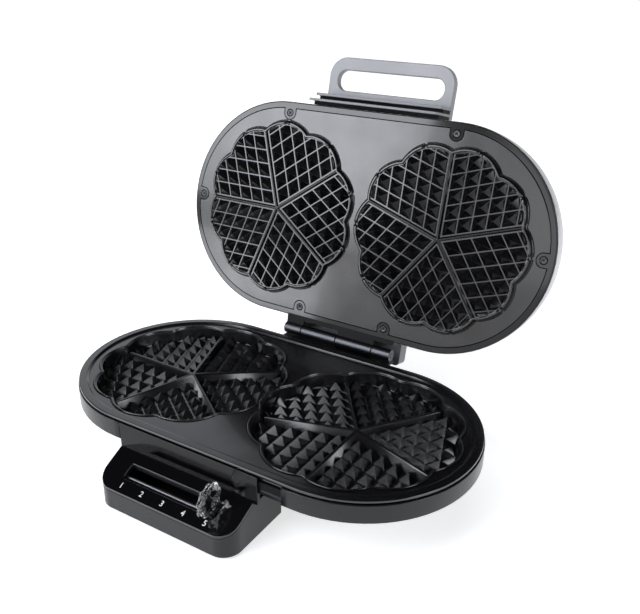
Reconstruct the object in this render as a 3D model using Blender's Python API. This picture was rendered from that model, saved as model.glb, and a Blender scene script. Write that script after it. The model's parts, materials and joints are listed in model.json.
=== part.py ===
"""Double waffle maker for heart waffles, built as an assembly of separate pieces.

Metres, +Z up, +X along the long side, -Y towards the cook. The base stands on its feet at z = 0.
The lid is drawn closed and then swung open about its hinge, onto the stop behind the barrel.
Places across the machine are measured from the middle between the two waffles.
"""

import math

import bmesh
import bpy
from mathutils import Matrix, Vector

MM = 0.001

# Clearances
seam = 0.3 * MM                  # between pieces that touch
parting = 0.3 * MM               # between the closed lid and the base
overrun = 2 * MM                 # how far a cutter passes what it cuts
root_sink = 0.4 * MM             # how deep a form is rooted in what it grows from

# Waffle flowers: five hearts, so ten round lobes
heart_count = 5
lobe_count = 10
lobe_steps = 5
well_tip_radius = 84 * MM        # lower well at its top edge, to the tip of a lobe
lobe_depth = 6 * MM              # from the tip of a lobe to the notch beside it
well_web = 4 * MM                # between the two wells, where they come nearest
well_depth = 14 * MM
well_draft = 2.6 * MM            # how far the wall leans in over its depth
grid_pitch = 13.1 * MM           # of the pyramids, along a rib
grid_start = 2.6 * MM            # where the first pyramid begins, along each rib
valley_width = 1.3 * MM          # flat floor between two pyramids
lower_pyramid_height = 6 * MM
upper_pyramid_height = 4.5 * MM
wall_valley = 1.4 * MM           # flat floor between the pyramids and the well wall
right_first_rib = 270            # degrees, seen from above with the lid closed
left_first_rib = 180
well_cusp_radius = well_tip_radius - lobe_depth
flower_pitch = well_tip_radius + well_cusp_radius + well_web

# Lower plate
land_width = 14 * MM             # from the wells' lobes to the shell's face
end_land = 1.5 * MM              # more of it at the round ends
plate_level = 61 * MM            # top of the lower plate's rim above the table
lower_wall = 2.8 * MM            # of the cast wells
lower_field_depth = 2 * MM       # how far the field lies under the rim
lower_rim_width = 6.5 * MM
lower_rim_slope = 1.8 * MM
lower_rim_height = 2 * MM        # the rim's visible edge
lower_lip_inset = 4 * MM         # of the lip under the rim, from the rim's edge
lower_plate_thickness = 5 * MM   # from the rim's top to the lip's foot
plate_inset = 0.8 * MM           # the rim stands back from the shell's face
bead_width = 1.6 * MM
bead_height = 1.1 * MM
bead_gap = 0.9 * MM              # flat step between the bead and the well
lower_rib_foot = 7.4 * MM
lower_rib_top = 2.2 * MM
lower_rib_height = 7.2 * MM
shell_radius = well_tip_radius + land_width
end_centre_x = flower_pitch / 2 + end_land

# Upper plate
upper_plate_inset = 4.2 * MM     # from the shell's face to the plate's edge
upper_plate_thickness = 2.8 * MM
flower_clearance = 3.6 * MM      # between the raised flower and the well round it
upper_flower_height = 4 * MM
upper_flower_draft = 1.4 * MM
upper_bead_width = 1.5 * MM
upper_bead_height = 1.8 * MM     # above the land inside it
upper_land_width = 2.2 * MM
upper_rib_foot = 3.4 * MM
upper_rib_top = 1.4 * MM
upper_rib_height = 1.9 * MM
vent_width = 2.2 * MM            # steam notches through the bead, one at each lobe
upper_plate_radius = shell_radius - upper_plate_inset
upper_tip_radius = well_tip_radius - flower_clearance
upper_cusp_radius = well_cusp_radius - flower_clearance

# Dome
dome_proud = 1.6 * MM            # how far the dome stands out over the base
dome_foot = 1.1 * MM             # its edge above the frame's face
dome_height = 43 * MM
dome_wall = 0.7 * MM
dome_height_shares = (0.0, 0.2, 0.42, 0.62, 0.78, 0.89, 0.965, 1.0)
dome_radius_shares = (1.0, 1.0, 0.992, 0.972, 0.94, 0.895, 0.82, 0.66)
dome_radius = shell_radius + dome_proud

# Frame round the upper plate
frame_inset = 0.1 * MM           # behind the shell's face
frame_height = 3.2 * MM
frame_bite = 1.6 * MM            # the frame's tongue behind the dome's edge
tab_radius = 5.8 * MM
tab_inset = 4.2 * MM             # screw centres inside the plate's edge
rear_screw_x = 45 * MM
screw_head_radius = 3.3 * MM
screw_head_height = 1.5 * MM
screw_shank_radius = 1.7 * MM
screw_shank_length = 9 * MM
frame_radius = shell_radius - frame_inset
front_screw_x = flower_pitch / 2

# Base shell and pan
shell_top = 3.5 * MM             # below the plate's level
shell_bottom = 19 * MM
shell_wall = 2.2 * MM
ledge_width = 5.6 * MM
ledge_height = 2.6 * MM
pan_wall = 2 * MM
pan_gap = 0.5 * MM
pan_seat = 4 * MM                # the pan's rim reaches up inside the shell
pan_lean = 36 * MM               # the pan's floor is narrower than the shell by this
pan_bottom_shift = 32 * MM       # and lies towards the hinge, where the feet carry the open lid
pan_depth = 48 * MM              # the pan's floor under the plate's level

# Control module on the front edge
module_left = 77.8 * MM
module_right = 53 * MM
module_reach = 32 * MM           # in front of the shell
module_tuck = 35.2 * MM          # behind the shell's front face, under the base
module_bottom = 59 * MM          # under the plate's level
module_wall = 2.2 * MM
module_corner = 15 * MM
module_gap = 0.4 * MM
panel_back_depth = 25 * MM       # the panel's back edge under the plate's level
panel_fall = 15.6 * MM           # from its back edge to its front edge
panel_thickness = 2 * MM
module_rear_depth = 28 * MM      # top of the part of the housing that lies under the base
cover_thickness = 2 * MM
fascia_thickness = 3.5 * MM
fascia_left_more = 0.2 * MM      # the fascia is wider than the module by this on its left
fascia_right_more = 3 * MM       # and by this on its right
recess_width = 20.5 * MM         # of the shell's gap that stays open beside the fascia
recess_wall = 2.2 * MM
recess_tuck = 3 * MM             # how far the recess's wall reaches behind the shell
slot_left_margin = 20.3 * MM     # from the module's left end to the slot
slot_right_margin = 19.5 * MM
slot_setback = 15.2 * MM         # the slot's middle in front of the shell's face
slot_width = 12.4 * MM
slot_corner = 1.5 * MM
module_front = shell_radius + module_reach
module_back = shell_radius - module_tuck
fascia_left = module_left + fascia_left_more
fascia_right = module_right + fascia_right_more
notch_right = fascia_right + recess_width
slot_left = module_left - slot_left_margin
slot_right = module_right - slot_right_margin
slot_centre_y = shell_radius + slot_setback

# Slide control
rod_radius = 1.5 * MM
rod_drop = 4.4 * MM              # the rod's axis under the panel's lower face
rod_holder_length = 5 * MM
rod_holder_width = 8 * MM
rod_holder_drop = 4 * MM
rod_clearance = 0.3 * MM
knob_margin = 5.5 * MM           # from the knob's middle to the slot's right end, at the last setting
carriage_length = 6 * MM
carriage_width = 8.4 * MM
carriage_height = 6.4 * MM
stem_length = 5 * MM
stem_width = 6 * MM
knob_length = 27 * MM
knob_height = 25 * MM
knob_thickness = 9.5 * MM
knob_lift = 0.6 * MM             # above the panel
knob_ripple_share = 0.035
knob_ring_shares = ((-0.5, 0.42), (-0.42, 0.72), (-0.24, 0.93), (0.0, 1.0), (0.24, 0.93), (0.42, 0.72), (0.5, 0.42))
switch_length = 58 * MM
switch_width = 22 * MM
switch_height = 8 * MM
knob_rest_x = slot_right - knob_margin

# Handle
handle_half_width = 62.8 * MM
handle_setoff = 0.8 * MM         # the loop's root in front of the dome
handle_root_width = 15.6 * MM    # from the root to the finger slot
finger_width = 18.5 * MM
handle_bar_width = 11.5 * MM
handle_thickness = 7 * MM
handle_corner = 17 * MM
handle_side = 9.3 * MM           # beside the finger slot
finger_corner = 8.6 * MM
mount_top = 29.1 * MM            # above the parting plane
mount_foot = 17 * MM
mount_depth = 11.3 * MM          # from the dome's face to the mount's front
mount_inset = 5 * MM             # the mount's core is narrower than its shelves
upper_shelf_thickness = 2.5 * MM
upper_shelf_foot = 9 * MM
lower_shelf_thickness = 2.2 * MM
lower_shelf_setback = 5.7 * MM   # behind the mount's front
lower_shelf_drop = 2.6 * MM      # how far the long shelf hangs under the parting plane
handle_screw_x = 40 * MM
handle_screw_setback = 6.6 * MM  # in front of the loop's root
handle_screw_depth = 7 * MM      # how far the screw reaches into the mount
finger_half_width = handle_half_width - handle_side
handle_root = dome_radius + handle_setoff
finger_near = handle_root + handle_root_width
finger_far = finger_near + finger_width
handle_reach = finger_far + handle_bar_width
handle_level = mount_top + seam
mount_front = dome_radius + mount_depth
lower_shelf_far = mount_front - lower_shelf_setback
handle_screw_y = handle_root + handle_screw_setback

# Hinge
hinge_offset = 12.4 * MM         # the pin behind the dome's face
hinge_rise = 1 * MM              # the pin above the plate's level
hinge_length = 114 * MM
knuckle_radius = 5.5 * MM
knuckle_gap = 0.5 * MM
knuckle_shares = (-0.5, -1 / 3, 0.0, 1 / 3, 0.5)
pin_radius = 2.2 * MM
pin_clearance = 0.3 * MM
leaf_thickness = 2.5 * MM
leaf_drop = 8 * MM               # the base leaf's underside, under the plate's level
web_width = 8 * MM
lid_leaf_height = 13.6 * MM
hinge_screw_margin = 9 * MM      # from the leaf's end
lid_screw_margin = 29 * MM
cover_overhang = 12.5 * MM       # of the hinge cover behind the pin, lid closed
cover_foot = 15.3 * MM           # its underside above the parting plane
cover_height = 14 * MM
cover_wall = 2 * MM
cover_corner = 4 * MM
cover_end = 2 * MM               # longer than the hinge at each end
stop_end = 7 * MM                # the stop is shorter than the hinge at each end
stop_depth = 19 * MM
hinge_y = dome_radius + hinge_offset
cover_half_width = hinge_length / 2 + cover_end
cover_reach = hinge_y + cover_overhang
hinge_screw_x = hinge_length / 2 - hinge_screw_margin
lid_screw_x = hinge_length / 2 - lid_screw_margin
stop_half_width = hinge_length / 2 - stop_end
lid_open_degrees = 103.8         # the photographed position, resting on the stop

# Heating and inner pieces
heater_radius = 3.3 * MM
heater_inset = 32 * MM           # the ring inside the well's lobes
heater_gap_degrees = 50
terminal_length = 16 * MM
shield_margin = 12 * MM          # from the heating element to the reflector's wall
shield_wall = 0.7 * MM
shield_depth = 9.4 * MM
terminal_slot_width = 60 * MM
thermostat_radius = 9 * MM
thermostat_height = 5 * MM
block_length = 30 * MM
block_width = 12 * MM
block_height = 9 * MM
wire_gap = 24 * MM               # opening in the housing's back wall
heater_ring_radius = well_tip_radius - heater_inset
shield_radius = heater_ring_radius + shield_margin

# Feet and cord gland
front_foot_radius = 8 * MM
rear_foot_radius = 8 * MM
rear_foot_spread = 13.5 * MM     # outside the centre of the pan's round ends
rear_foot_setback = 12 * MM      # from the pan's rear edge
front_foot_inset = 16 * MM
foot_taper_share = 0.85
gland_radius = 6.4 * MM
gland_wall = 1.5 * MM            # of the neck
gland_length = 12 * MM
gland_flange = 2 * MM            # the flange is wider than the neck, and as thick, by this
gland_drop = 13.2 * MM
pan_bottom_radius = shell_radius - pan_lean
rear_foot_x = end_centre_x + rear_foot_spread
rear_foot_y = pan_bottom_shift + pan_bottom_radius - rear_foot_setback
gland_x = end_centre_x - gland_radius

# Fineness of round forms
stadium_steps = 18
pan_steps = 12
quarter = math.pi / 2


def sides_of(radius):
    """How many sides a round piece of this radius has."""
    if radius > well_tip_radius / 2:
        return 28
    return 16 if radius > screw_head_radius + seam else 12


def material(name, colour, roughness, metallic=0.0, alpha=1.0):
    """A Principled BSDF with the colour (linear), roughness and metallic value of one piece."""
    made = bpy.data.materials.new(name)
    made.use_nodes = True
    shader = made.node_tree.nodes["Principled BSDF"]
    shader.inputs["Base Color"].default_value = (*colour, 1.0)
    shader.inputs["Roughness"].default_value = roughness
    shader.inputs["Metallic"].default_value = metallic
    shader.inputs["Alpha"].default_value = alpha
    return made


def new_object(name, mesh):
    made = bpy.data.objects.new(name, mesh)
    bpy.context.scene.collection.objects.link(made)
    return made


def mesh_of(bm, name):
    bmesh.ops.recalc_face_normals(bm, faces=bm.faces)
    mesh = bpy.data.meshes.new(name)
    bm.to_mesh(mesh)
    bm.free()
    return mesh


def loft(name, rings):
    """A closed solid through rings of points, each with the same number of points, capped at both ends."""
    bm = bmesh.new()
    rows = [[bm.verts.new(point) for point in ring] for ring in rings]
    for low, high in zip(rows, rows[1:]):
        for i in range(len(low)):
            j = (i + 1) % len(low)
            bm.faces.new((low[i], low[j], high[j], high[i]))
    bm.faces.new(rows[0])
    bm.faces.new(rows[-1])
    return new_object(name, mesh_of(bm, name))


def shell_of(name, outer, inner):
    """Thin-walled cup through outer and inner rings, both from the open edge to the closed end."""
    return loft(name, outer[::-1] + inner)


def turned_loft(name, rings):
    """A closed solid whose last ring joins its first, as a frame or a tube wall does."""
    bm = bmesh.new()
    rows = [[bm.verts.new(point) for point in ring] for ring in rings]
    for low, high in zip(rows, rows[1:] + rows[:1]):
        for i in range(len(low)):
            j = (i + 1) % len(low)
            bm.faces.new((low[i], low[j], high[j], high[i]))
    return new_object(name, mesh_of(bm, name))


def at(outline, z):
    return [(x, y, z) for x, y in outline]


def prism(name, outline, low, high):
    return loft(name, [at(outline, low), at(outline, high)])


def box(name, low, high):
    corners = [(low[0], low[1]), (high[0], low[1]), (high[0], high[1]), (low[0], high[1])]
    return prism(name, corners, low[2], high[2])


def extrude_x(name, profile, left, right):
    """A solid whose profile of (y, z) points is the same all along X."""
    return loft(name, [[(x, y, z) for y, z in profile] for x in (left, right)])


def circle(radius, centre=(0.0, 0.0), sides=None):
    count = sides or sides_of(radius)
    angles = [math.tau * (i + 0.5) / count for i in range(count)]
    return [(centre[0] + radius * math.cos(a), centre[1] + radius * math.sin(a)) for a in angles]


def cylinder_x(name, radius, left, right, y, z, sides=None):
    return extrude_x(name, circle(radius, (y, z), sides), left, right)


def cylinder_z(name, radius, centre, low, high, sides=None):
    return prism(name, circle(radius, centre, sides), low, high)


def stadium(radius, steps=stadium_steps, shift=0.0):
    """Outline with two straight sides and two round ends, anticlockwise from the front right."""
    points = []
    for side in (1, -1):
        for i in range(steps + 1):
            angle = 2 * quarter * i / steps - quarter
            x = end_centre_x + radius * math.cos(angle)
            points.append((side * x, side * radius * math.sin(angle) + shift))
    return points


def rounded_box(left, right, front, back, front_radius, back_radius, steps=6):
    """Plan outline whose two front corners and two back corners have their own radii."""
    corners = (
        (right - front_radius, front + front_radius, front_radius, -quarter),
        (right - back_radius, back - back_radius, back_radius, 0.0),
        (left + back_radius, back - back_radius, back_radius, quarter),
        (left + front_radius, front + front_radius, front_radius, 2 * quarter),
    )
    points = []
    for x, y, radius, start in corners:
        count = steps if radius > 0 else 0
        for i in range(count + 1):
            angle = start + quarter * i / max(count, 1)
            points.append((x + radius * math.cos(angle), y + radius * math.sin(angle)))
    return points


def flower(tip, cusp, first_rib, centre_x):
    """Outline of ten round lobes. Notches lie at first_rib and every tenth of a turn after it."""
    half = math.pi / lobe_count
    near, side = cusp * math.cos(half), cusp * math.sin(half)
    middle = (tip * tip - cusp * cusp) / (2 * (tip - near))
    radius = tip - middle
    sweep = math.atan2(side, near - middle)
    points = []
    for lobe in range(lobe_count):
        heading = math.radians(first_rib) + half * (2 * lobe + 1)
        for i in range(lobe_steps):
            angle = sweep * (2 * i / lobe_steps - 1)
            x = middle + radius * math.cos(angle)
            y = radius * math.sin(angle)
            points.append((
                centre_x + x * math.cos(heading) - y * math.sin(heading),
                x * math.sin(heading) + y * math.cos(heading),
            ))
    return points


def boolean(target, other, operation):
    """Cuts, joins or clips with an exact Boolean, applies it, and removes the helper."""
    change = target.modifiers.new(operation.lower(), "BOOLEAN")
    change.operation = operation
    change.solver = "EXACT"
    change.object = other
    bpy.context.view_layer.update()
    graph = bpy.context.evaluated_depsgraph_get()
    mesh = bpy.data.meshes.new_from_object(target.evaluated_get(graph))
    target.modifiers.clear()
    old = target.data
    target.data = mesh
    bpy.data.meshes.remove(old)
    bpy.data.objects.remove(other)
    return target


def cut(target, *cutters):
    for cutter in cutters:
        boolean(target, cutter, "DIFFERENCE")
    return target


def join(target, *others):
    for other in others:
        boolean(target, other, "UNION")
    return target


def merge(name, objects):
    """Several separate solids as one helper object, for a Boolean."""
    bm = bmesh.new()
    for one in objects:
        bm.from_mesh(one.data)
        bpy.data.objects.remove(one)
    mesh = bpy.data.meshes.new(name)
    bm.to_mesh(mesh)
    bm.free()
    return new_object(name, mesh)


def heading(degrees):
    return Vector((math.cos(math.radians(degrees)), math.sin(math.radians(degrees)), 0.0))


def inside(outline, point):
    """Whether a plan point lies inside an outline."""
    found = False
    for (x1, y1), (x2, y2) in zip(outline, outline[1:] + outline[:1]):
        if (y1 > point[1]) != (y2 > point[1]):
            if point[0] < x1 + (point[1] - y1) / (y2 - y1) * (x2 - x1):
                found = not found
    return found


def pyramids(name, outline, first_rib, centre_x, floor, height, way, turn):
    """Rhombic grid of pyramids in each heart, clipped by the outline.

    way is 1 for pyramids that stand up and -1 for those that hang from the lid.
    turn is the angle between two ribs.
    """
    bm = bmesh.new()
    reach = max(math.hypot(x - centre_x, y) for x, y in outline)
    count = math.ceil(reach / grid_pitch)
    inset = valley_width / 2 / math.sin(math.radians(turn))
    grow = (height + root_sink) / height
    for heart in range(heart_count):
        along = heading(first_rib + turn * heart)
        across = heading(first_rib + turn * (heart + 1))
        for i in range(count):
            for j in range(count):
                low_i, high_i = (grid_start + grid_pitch * k for k in (i, i + 1))
                low_j, high_j = (grid_start + grid_pitch * k for k in (j, j + 1))
                middle = along * (low_i + high_i) / 2 + across * (low_j + high_j) / 2
                if not inside(outline, (centre_x + middle.x, middle.y)):
                    continue
                rim = (
                    (low_i + inset, low_j + inset),
                    (high_i - inset, low_j + inset),
                    (high_i - inset, high_j - inset),
                    (low_i + inset, high_j - inset),
                )
                feet = []
                for a, b in rim:
                    corner = middle + (along * a + across * b - middle) * grow
                    feet.append(bm.verts.new((centre_x + corner.x, corner.y, floor - way * root_sink)))
                tip = bm.verts.new((centre_x + middle.x, middle.y, floor + way * height))
                bm.faces.new(feet)
                for k in range(len(feet)):
                    bm.faces.new((feet[k], feet[(k + 1) % len(feet)], tip))
    field = new_object(name, mesh_of(bm, name))
    ends = sorted((floor - way * 2 * root_sink, floor + way * (height + overrun)))
    return boolean(field, prism("field", outline, *ends), "INTERSECT")


def ribs(name, first_rib, centre_x, floor, foot, top, height, length, way, turn):
    """Star of ridges between the hearts, from the middle of the flower to its wall, in one solid."""
    root = foot + (foot - top) / height * root_sink
    rings = []
    for width, z in ((root, floor - way * root_sink), (top, floor + way * height)):
        ring = []
        for index in range(heart_count):
            along = heading(first_rib + turn * index)
            across = Vector((-along.y, along.x, 0.0)) * width / 2
            between = heading(first_rib + turn * (index + 0.5))
            crotch = between * width / 2 / math.sin(math.radians(turn / 2))
            ring += [along * length - across, along * length + across, crotch]
        rings.append([(centre_x + p.x, p.y, z) for p in ring])
    return loft(name, rings)


def flower_sides():
    return ((-1, left_first_rib), (1, right_first_rib))


def lower_baking_plate(finish):
    """Cast plate with two deep wells, a bead round each, and a raised outer rim."""
    turn = 360 / heart_count
    rim_radius = shell_radius - plate_inset
    lip_radius = rim_radius - lower_lip_inset
    field = plate_level - lower_field_depth
    inner = rim_radius - lower_rim_width
    foot = plate_level - lower_plate_thickness
    plate = loft("lower_baking_plate", [
        at(stadium(lip_radius), foot),
        at(stadium(lip_radius), plate_level - lower_rim_height),
        at(stadium(rim_radius), plate_level - lower_rim_height),
        at(stadium(rim_radius), plate_level),
        at(stadium(inner), plate_level),
        at(stadium(inner - lower_rim_slope), field),
    ])
    wells = []
    for side, first_rib in flower_sides():
        centre = side * flower_pitch / 2
        floor = plate_level - well_depth
        under = floor - lower_wall
        tub = loft("tub", [
            at(flower(well_tip_radius - well_draft + lower_wall, well_cusp_radius - well_draft + lower_wall,
                      first_rib, centre), under),
            at(flower(well_tip_radius + lower_wall, well_cusp_radius + lower_wall, first_rib, centre),
               field - lower_wall / 2),
        ])
        edge = bead_gap + bead_width
        bead = prism("bead", flower(well_tip_radius + edge, well_cusp_radius + edge, first_rib, centre),
                     field - lower_wall / 2, field + bead_height)
        join(plate, tub, bead)
        wells.append((centre, first_rib, floor))
    for centre, first_rib, floor in wells:
        step = prism("step", flower(well_tip_radius + bead_gap, well_cusp_radius + bead_gap, first_rib, centre),
                     field, field + bead_height + overrun)
        rise = (field - floor)
        lean = well_draft / rise * overrun
        cavity = loft("cavity", [
            at(flower(well_tip_radius - well_draft, well_cusp_radius - well_draft, first_rib, centre), floor),
            at(flower(well_tip_radius + lean, well_cusp_radius + lean, first_rib, centre), field + overrun),
        ])
        cut(plate, step, cavity)
    for centre, first_rib, floor in wells:
        back = well_draft + wall_valley
        outline = flower(well_tip_radius - back, well_cusp_radius - back, first_rib, centre)
        field_of = pyramids("field", outline, first_rib, centre, floor, lower_pyramid_height, 1, turn)
        length = well_cusp_radius - well_draft + root_sink
        star = ribs("ribs", first_rib, centre, floor, lower_rib_foot, lower_rib_top, lower_rib_height,
                    length, 1, turn)
        join(plate, field_of, star)
    return finished(plate, finish)


def upper_baking_plate(finish):
    """Cast plate with two raised flowers. Each has a bead with steam notches, a land and hanging pyramids."""
    turn = 360 / heart_count
    face = plate_level + parting
    plate = prism("upper_baking_plate", stadium(upper_plate_radius), face, face + upper_plate_thickness)
    for x, y, _ in plate_screw_places():
        cut(plate, cylinder_z("tab", tab_radius + seam, (x, y), face - overrun, face + upper_plate_thickness + overrun))
        outward = outward_of(x, y)
        cut(plate, tab_channel("mouth", x, y, outward, tab_radius + seam, face - overrun,
                               face + upper_plate_thickness + overrun))
    for side, first_rib in flower_sides():
        centre = side * flower_pitch / 2
        top = face - upper_flower_height
        land = top + upper_bead_height
        drum = loft("drum", [
            at(flower(upper_tip_radius, upper_cusp_radius, first_rib, centre), top),
            at(flower(upper_tip_radius + upper_flower_draft, upper_cusp_radius + upper_flower_draft,
                      first_rib, centre), face),
            at(flower(upper_tip_radius + upper_flower_draft, upper_cusp_radius + upper_flower_draft,
                      first_rib, centre), face + upper_plate_thickness / 2),
        ])
        join(plate, drum)
        dish = prism("dish", flower(upper_tip_radius - upper_bead_width, upper_cusp_radius - upper_bead_width,
                                    first_rib, centre), top - overrun, land)
        cut(plate, dish)
        notches = []
        for lobe in range(lobe_count):
            angle = first_rib + 360 / lobe_count * (lobe + 0.5)
            notches.append(radial_bar("notch", centre, angle, upper_tip_radius - upper_bead_width - root_sink,
                                      upper_tip_radius + upper_flower_draft + overrun, vent_width,
                                      top - overrun, land - root_sink))
        cut(plate, merge("notches", notches))
        back = upper_bead_width + upper_land_width
        outline = flower(upper_tip_radius - back, upper_cusp_radius - back, first_rib, centre)
        field_of = pyramids("field", outline, first_rib, centre, land, upper_pyramid_height, -1, turn)
        length = upper_cusp_radius - upper_bead_width + root_sink
        star = ribs("ribs", first_rib, centre, land, upper_rib_foot, upper_rib_top, upper_rib_height,
                    length, -1, turn)
        join(plate, field_of, star)
    return finished(plate, finish)


def radial_bar(name, centre_x, degrees, start, end, width, low, high):
    """Bar that points away from a flower's middle."""
    along = heading(degrees)
    across = Vector((-along.y, along.x, 0.0)) * width / 2
    middle = Vector((centre_x, 0.0, 0.0))
    corners = [middle + along * start - across, middle + along * end - across,
               middle + along * end + across, middle + along * start + across]
    return prism(name, [(c.x, c.y) for c in corners], low, high)


def plate_screw_places():
    """Places of the six screws of the upper plate, with their names' endings."""
    edge = upper_plate_radius - tab_inset
    return (
        (-front_screw_x, -edge, "front_left"),
        (front_screw_x, -edge, "front_right"),
        (-rear_screw_x, edge, "rear_left"),
        (rear_screw_x, edge, "rear_right"),
        (-end_centre_x - edge, 0.0, "left_end"),
        (end_centre_x + edge, 0.0, "right_end"),
    )


def outward_of(x, y):
    """Direction from a screw to the nearest edge of the lid."""
    if abs(x) > end_centre_x and y == 0:
        return Vector((math.copysign(1, x), 0.0, 0.0))
    return Vector((0.0, math.copysign(1, y), 0.0))


def tab_channel(name, x, y, outward, half, low, high):
    """Straight sides of a screw tab, from its round end to the frame."""
    across = Vector((-outward.y, outward.x, 0.0)) * half
    start = Vector((x, y, 0.0))
    end = start + outward * (tab_inset + overrun)
    corners = [start - across, end - across, end + across, start + across]
    return prism(name, [(c.x, c.y) for c in corners], low, high)


def finished(piece, finish):
    """Gives a piece its own material, from a finish of colour, roughness, metallic and alpha."""
    piece.data.materials.clear()
    piece.data.materials.append(material(piece.name, *finish))
    return piece


def lid_frame(finish):
    """Thin ring round the upper plate, with a tongue behind the dome's edge and a tab at each screw."""
    face = plate_level + parting
    inner = upper_plate_radius + seam
    top = face + frame_height
    tongue = dome_radius - dome_wall - seam
    ring = turned_loft("lid_frame", [
        at(stadium(inner), face),
        at(stadium(frame_radius), face),
        at(stadium(frame_radius), face + dome_foot - seam),
        at(stadium(tongue), face + dome_foot - seam),
        at(stadium(tongue), top + frame_bite),
        at(stadium(inner), top + frame_bite),
    ])
    for x, y, _ in plate_screw_places():
        tab = cylinder_z("tab", tab_radius, (x, y), face, top)
        bridge = tab_channel("bridge", x, y, outward_of(x, y), tab_radius, face, top)
        cut(bridge, turned_loft("outside", [
            at(stadium(tongue - overrun / 2), face - overrun),
            at(stadium(dome_radius + overrun), face - overrun),
            at(stadium(dome_radius + overrun), top + overrun),
            at(stadium(tongue - overrun / 2), top + overrun),
        ]))
        join(tab, bridge)
        join(ring, tab)
        head = loft("head", [
            at(circle(screw_head_radius + seam, (x, y)), face - seam),
            at(circle(screw_head_radius + seam, (x, y)), face),
            at(circle(screw_shank_radius + seam, (x, y)), face + screw_head_height + seam),
            at(circle(screw_shank_radius + seam, (x, y)), top + overrun),
        ])
        cut(ring, head)
    return finished(ring, finish)


def plate_screw(name, x, y, finish):
    face = plate_level + parting
    screw = loft(name, [
        at(circle(screw_head_radius, (x, y)), face),
        at(circle(screw_shank_radius, (x, y)), face + screw_head_height),
        at(circle(screw_shank_radius, (x, y)), face + screw_shank_length),
    ])
    return finished(screw, finish)


def dome_at(height):
    """Half depth of the dome's outside at a height above the parting plane."""
    rise = dome_height - dome_foot
    heights = [dome_foot + rise * share for share in dome_height_shares]
    radii = [dome_radius * share for share in dome_radius_shares]
    for low, high, wide, narrow in zip(heights, heights[1:], radii, radii[1:]):
        if height <= high:
            return wide + (narrow - wide) * max(height - low, 0.0) / (high - low)
    return radii[-1]


def dome_line(low, high):
    """Points (half depth, height) down the dome's outside between two heights, a seam away from it."""
    rise = dome_height - dome_foot
    between = [dome_foot + rise * share for share in dome_height_shares]
    heights = [high] + [h for h in reversed(between) if low < h < high] + [low]
    return [(dome_at(h) + seam, h) for h in heights]


def lid_dome(finish):
    """Thin metal shell that tapers and rounds over to an almost flat top."""
    face = plate_level + parting + dome_foot
    rise = dome_height - dome_foot
    outer = [
        at(stadium(dome_radius * r), face + rise * h)
        for h, r in zip(dome_height_shares, dome_radius_shares)
    ]
    inner_rise = rise - dome_wall
    inner = [
        at(stadium(dome_radius * r - dome_wall), face + inner_rise * h)
        for h, r in zip(dome_height_shares, dome_radius_shares)
    ]
    return finished(shell_of("lid_dome", outer, inner), finish)


def hinge_level():
    return plate_level + hinge_rise


def knuckle_span(index):
    left, right = (hinge_length * share for share in knuckle_shares[index:index + 2])
    return left + knuckle_gap / 2, right - knuckle_gap / 2


def pin_bore(name):
    half = hinge_length / 2 + overrun
    return cylinder_x(name, pin_radius + pin_clearance, -half, half, hinge_y, hinge_level())


def hinge_lid_leaf(finish):
    """Angle bracket on the back of the dome, which carries the first and third knuckles."""
    face = plate_level + parting
    near = dome_radius + seam
    half = hinge_length / 2
    leaf = box("hinge_lid_leaf", (-half, near, face), (half, near + leaf_thickness, face + lid_leaf_height))
    foot = near + leaf_thickness
    for index in (0, 2):
        left, right = knuckle_span(index)
        tongue = box("tongue", (left, foot - root_sink, face), (right, hinge_y, face + leaf_thickness))
        knuckle = cylinder_x("knuckle", knuckle_radius, left, right, hinge_y, hinge_level())
        join(leaf, join(knuckle, tongue))
    cut(leaf, pin_bore("bore"))
    for x in (-lid_screw_x, lid_screw_x):
        cut(leaf, cylinder_y("hole", screw_shank_radius + seam, x, screw_level(), near - overrun, foot + overrun))
    return finished(leaf, finish)


def screw_level():
    return plate_level + parting + lid_leaf_height - screw_head_radius - seam


def cylinder_y(name, radius, x, z, near, far, sides=None):
    return loft(name, [[(a, y, b) for a, b in circle(radius, (x, z), sides)] for y in (near, far)])


def lid_hinge_screw(name, x, finish):
    """Screw through the lid leaf into the dome's boss."""
    foot = dome_radius + seam + leaf_thickness
    head = cylinder_y(name, screw_head_radius, x, screw_level(), foot + seam, foot + seam + screw_head_height)
    shank = cylinder_y("shank", screw_shank_radius, x, screw_level(), dome_radius + seam, foot + seam + root_sink)
    return finished(join(head, shank), finish)


def hinge_base_leaf(finish):
    """Flat leaf behind the base with webs up to the second and fourth knuckles."""
    low = plate_level - leaf_drop
    high = low + leaf_thickness
    half = hinge_length / 2
    leaf = box("hinge_base_leaf", (-half, shell_radius + seam, low), (half, hinge_y + web_width / 2, high))
    for index in (1, 3):
        left, right = knuckle_span(index)
        web = box("web", (left, hinge_y - web_width / 2, low + root_sink), (right, hinge_y + web_width / 2, hinge_level()))
        knuckle = cylinder_x("knuckle", knuckle_radius, left, right, hinge_y, hinge_level())
        join(leaf, join(knuckle, web))
    cut(leaf, pin_bore("bore"))
    for x in (-hinge_screw_x, hinge_screw_x):
        cut(leaf, cylinder_z("hole", screw_shank_radius + seam, (x, hinge_screw_y()), low - overrun, high + overrun))
    return finished(leaf, finish)


def hinge_screw_y():
    return shell_radius + seam + screw_head_radius + seam


def base_hinge_screw(name, x, finish):
    low = plate_level - leaf_drop
    high = low + leaf_thickness + seam
    head = cylinder_z(name, screw_head_radius, (x, hinge_screw_y()), high, high + screw_head_height)
    shank = cylinder_z("shank", screw_shank_radius, (x, hinge_screw_y()), low, high + root_sink)
    return finished(join(head, shank), finish)


def hinge_pin(finish):
    half = hinge_length / 2
    return finished(cylinder_x("hinge_pin", pin_radius, -half, half, hinge_y, hinge_level()), finish)


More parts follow.
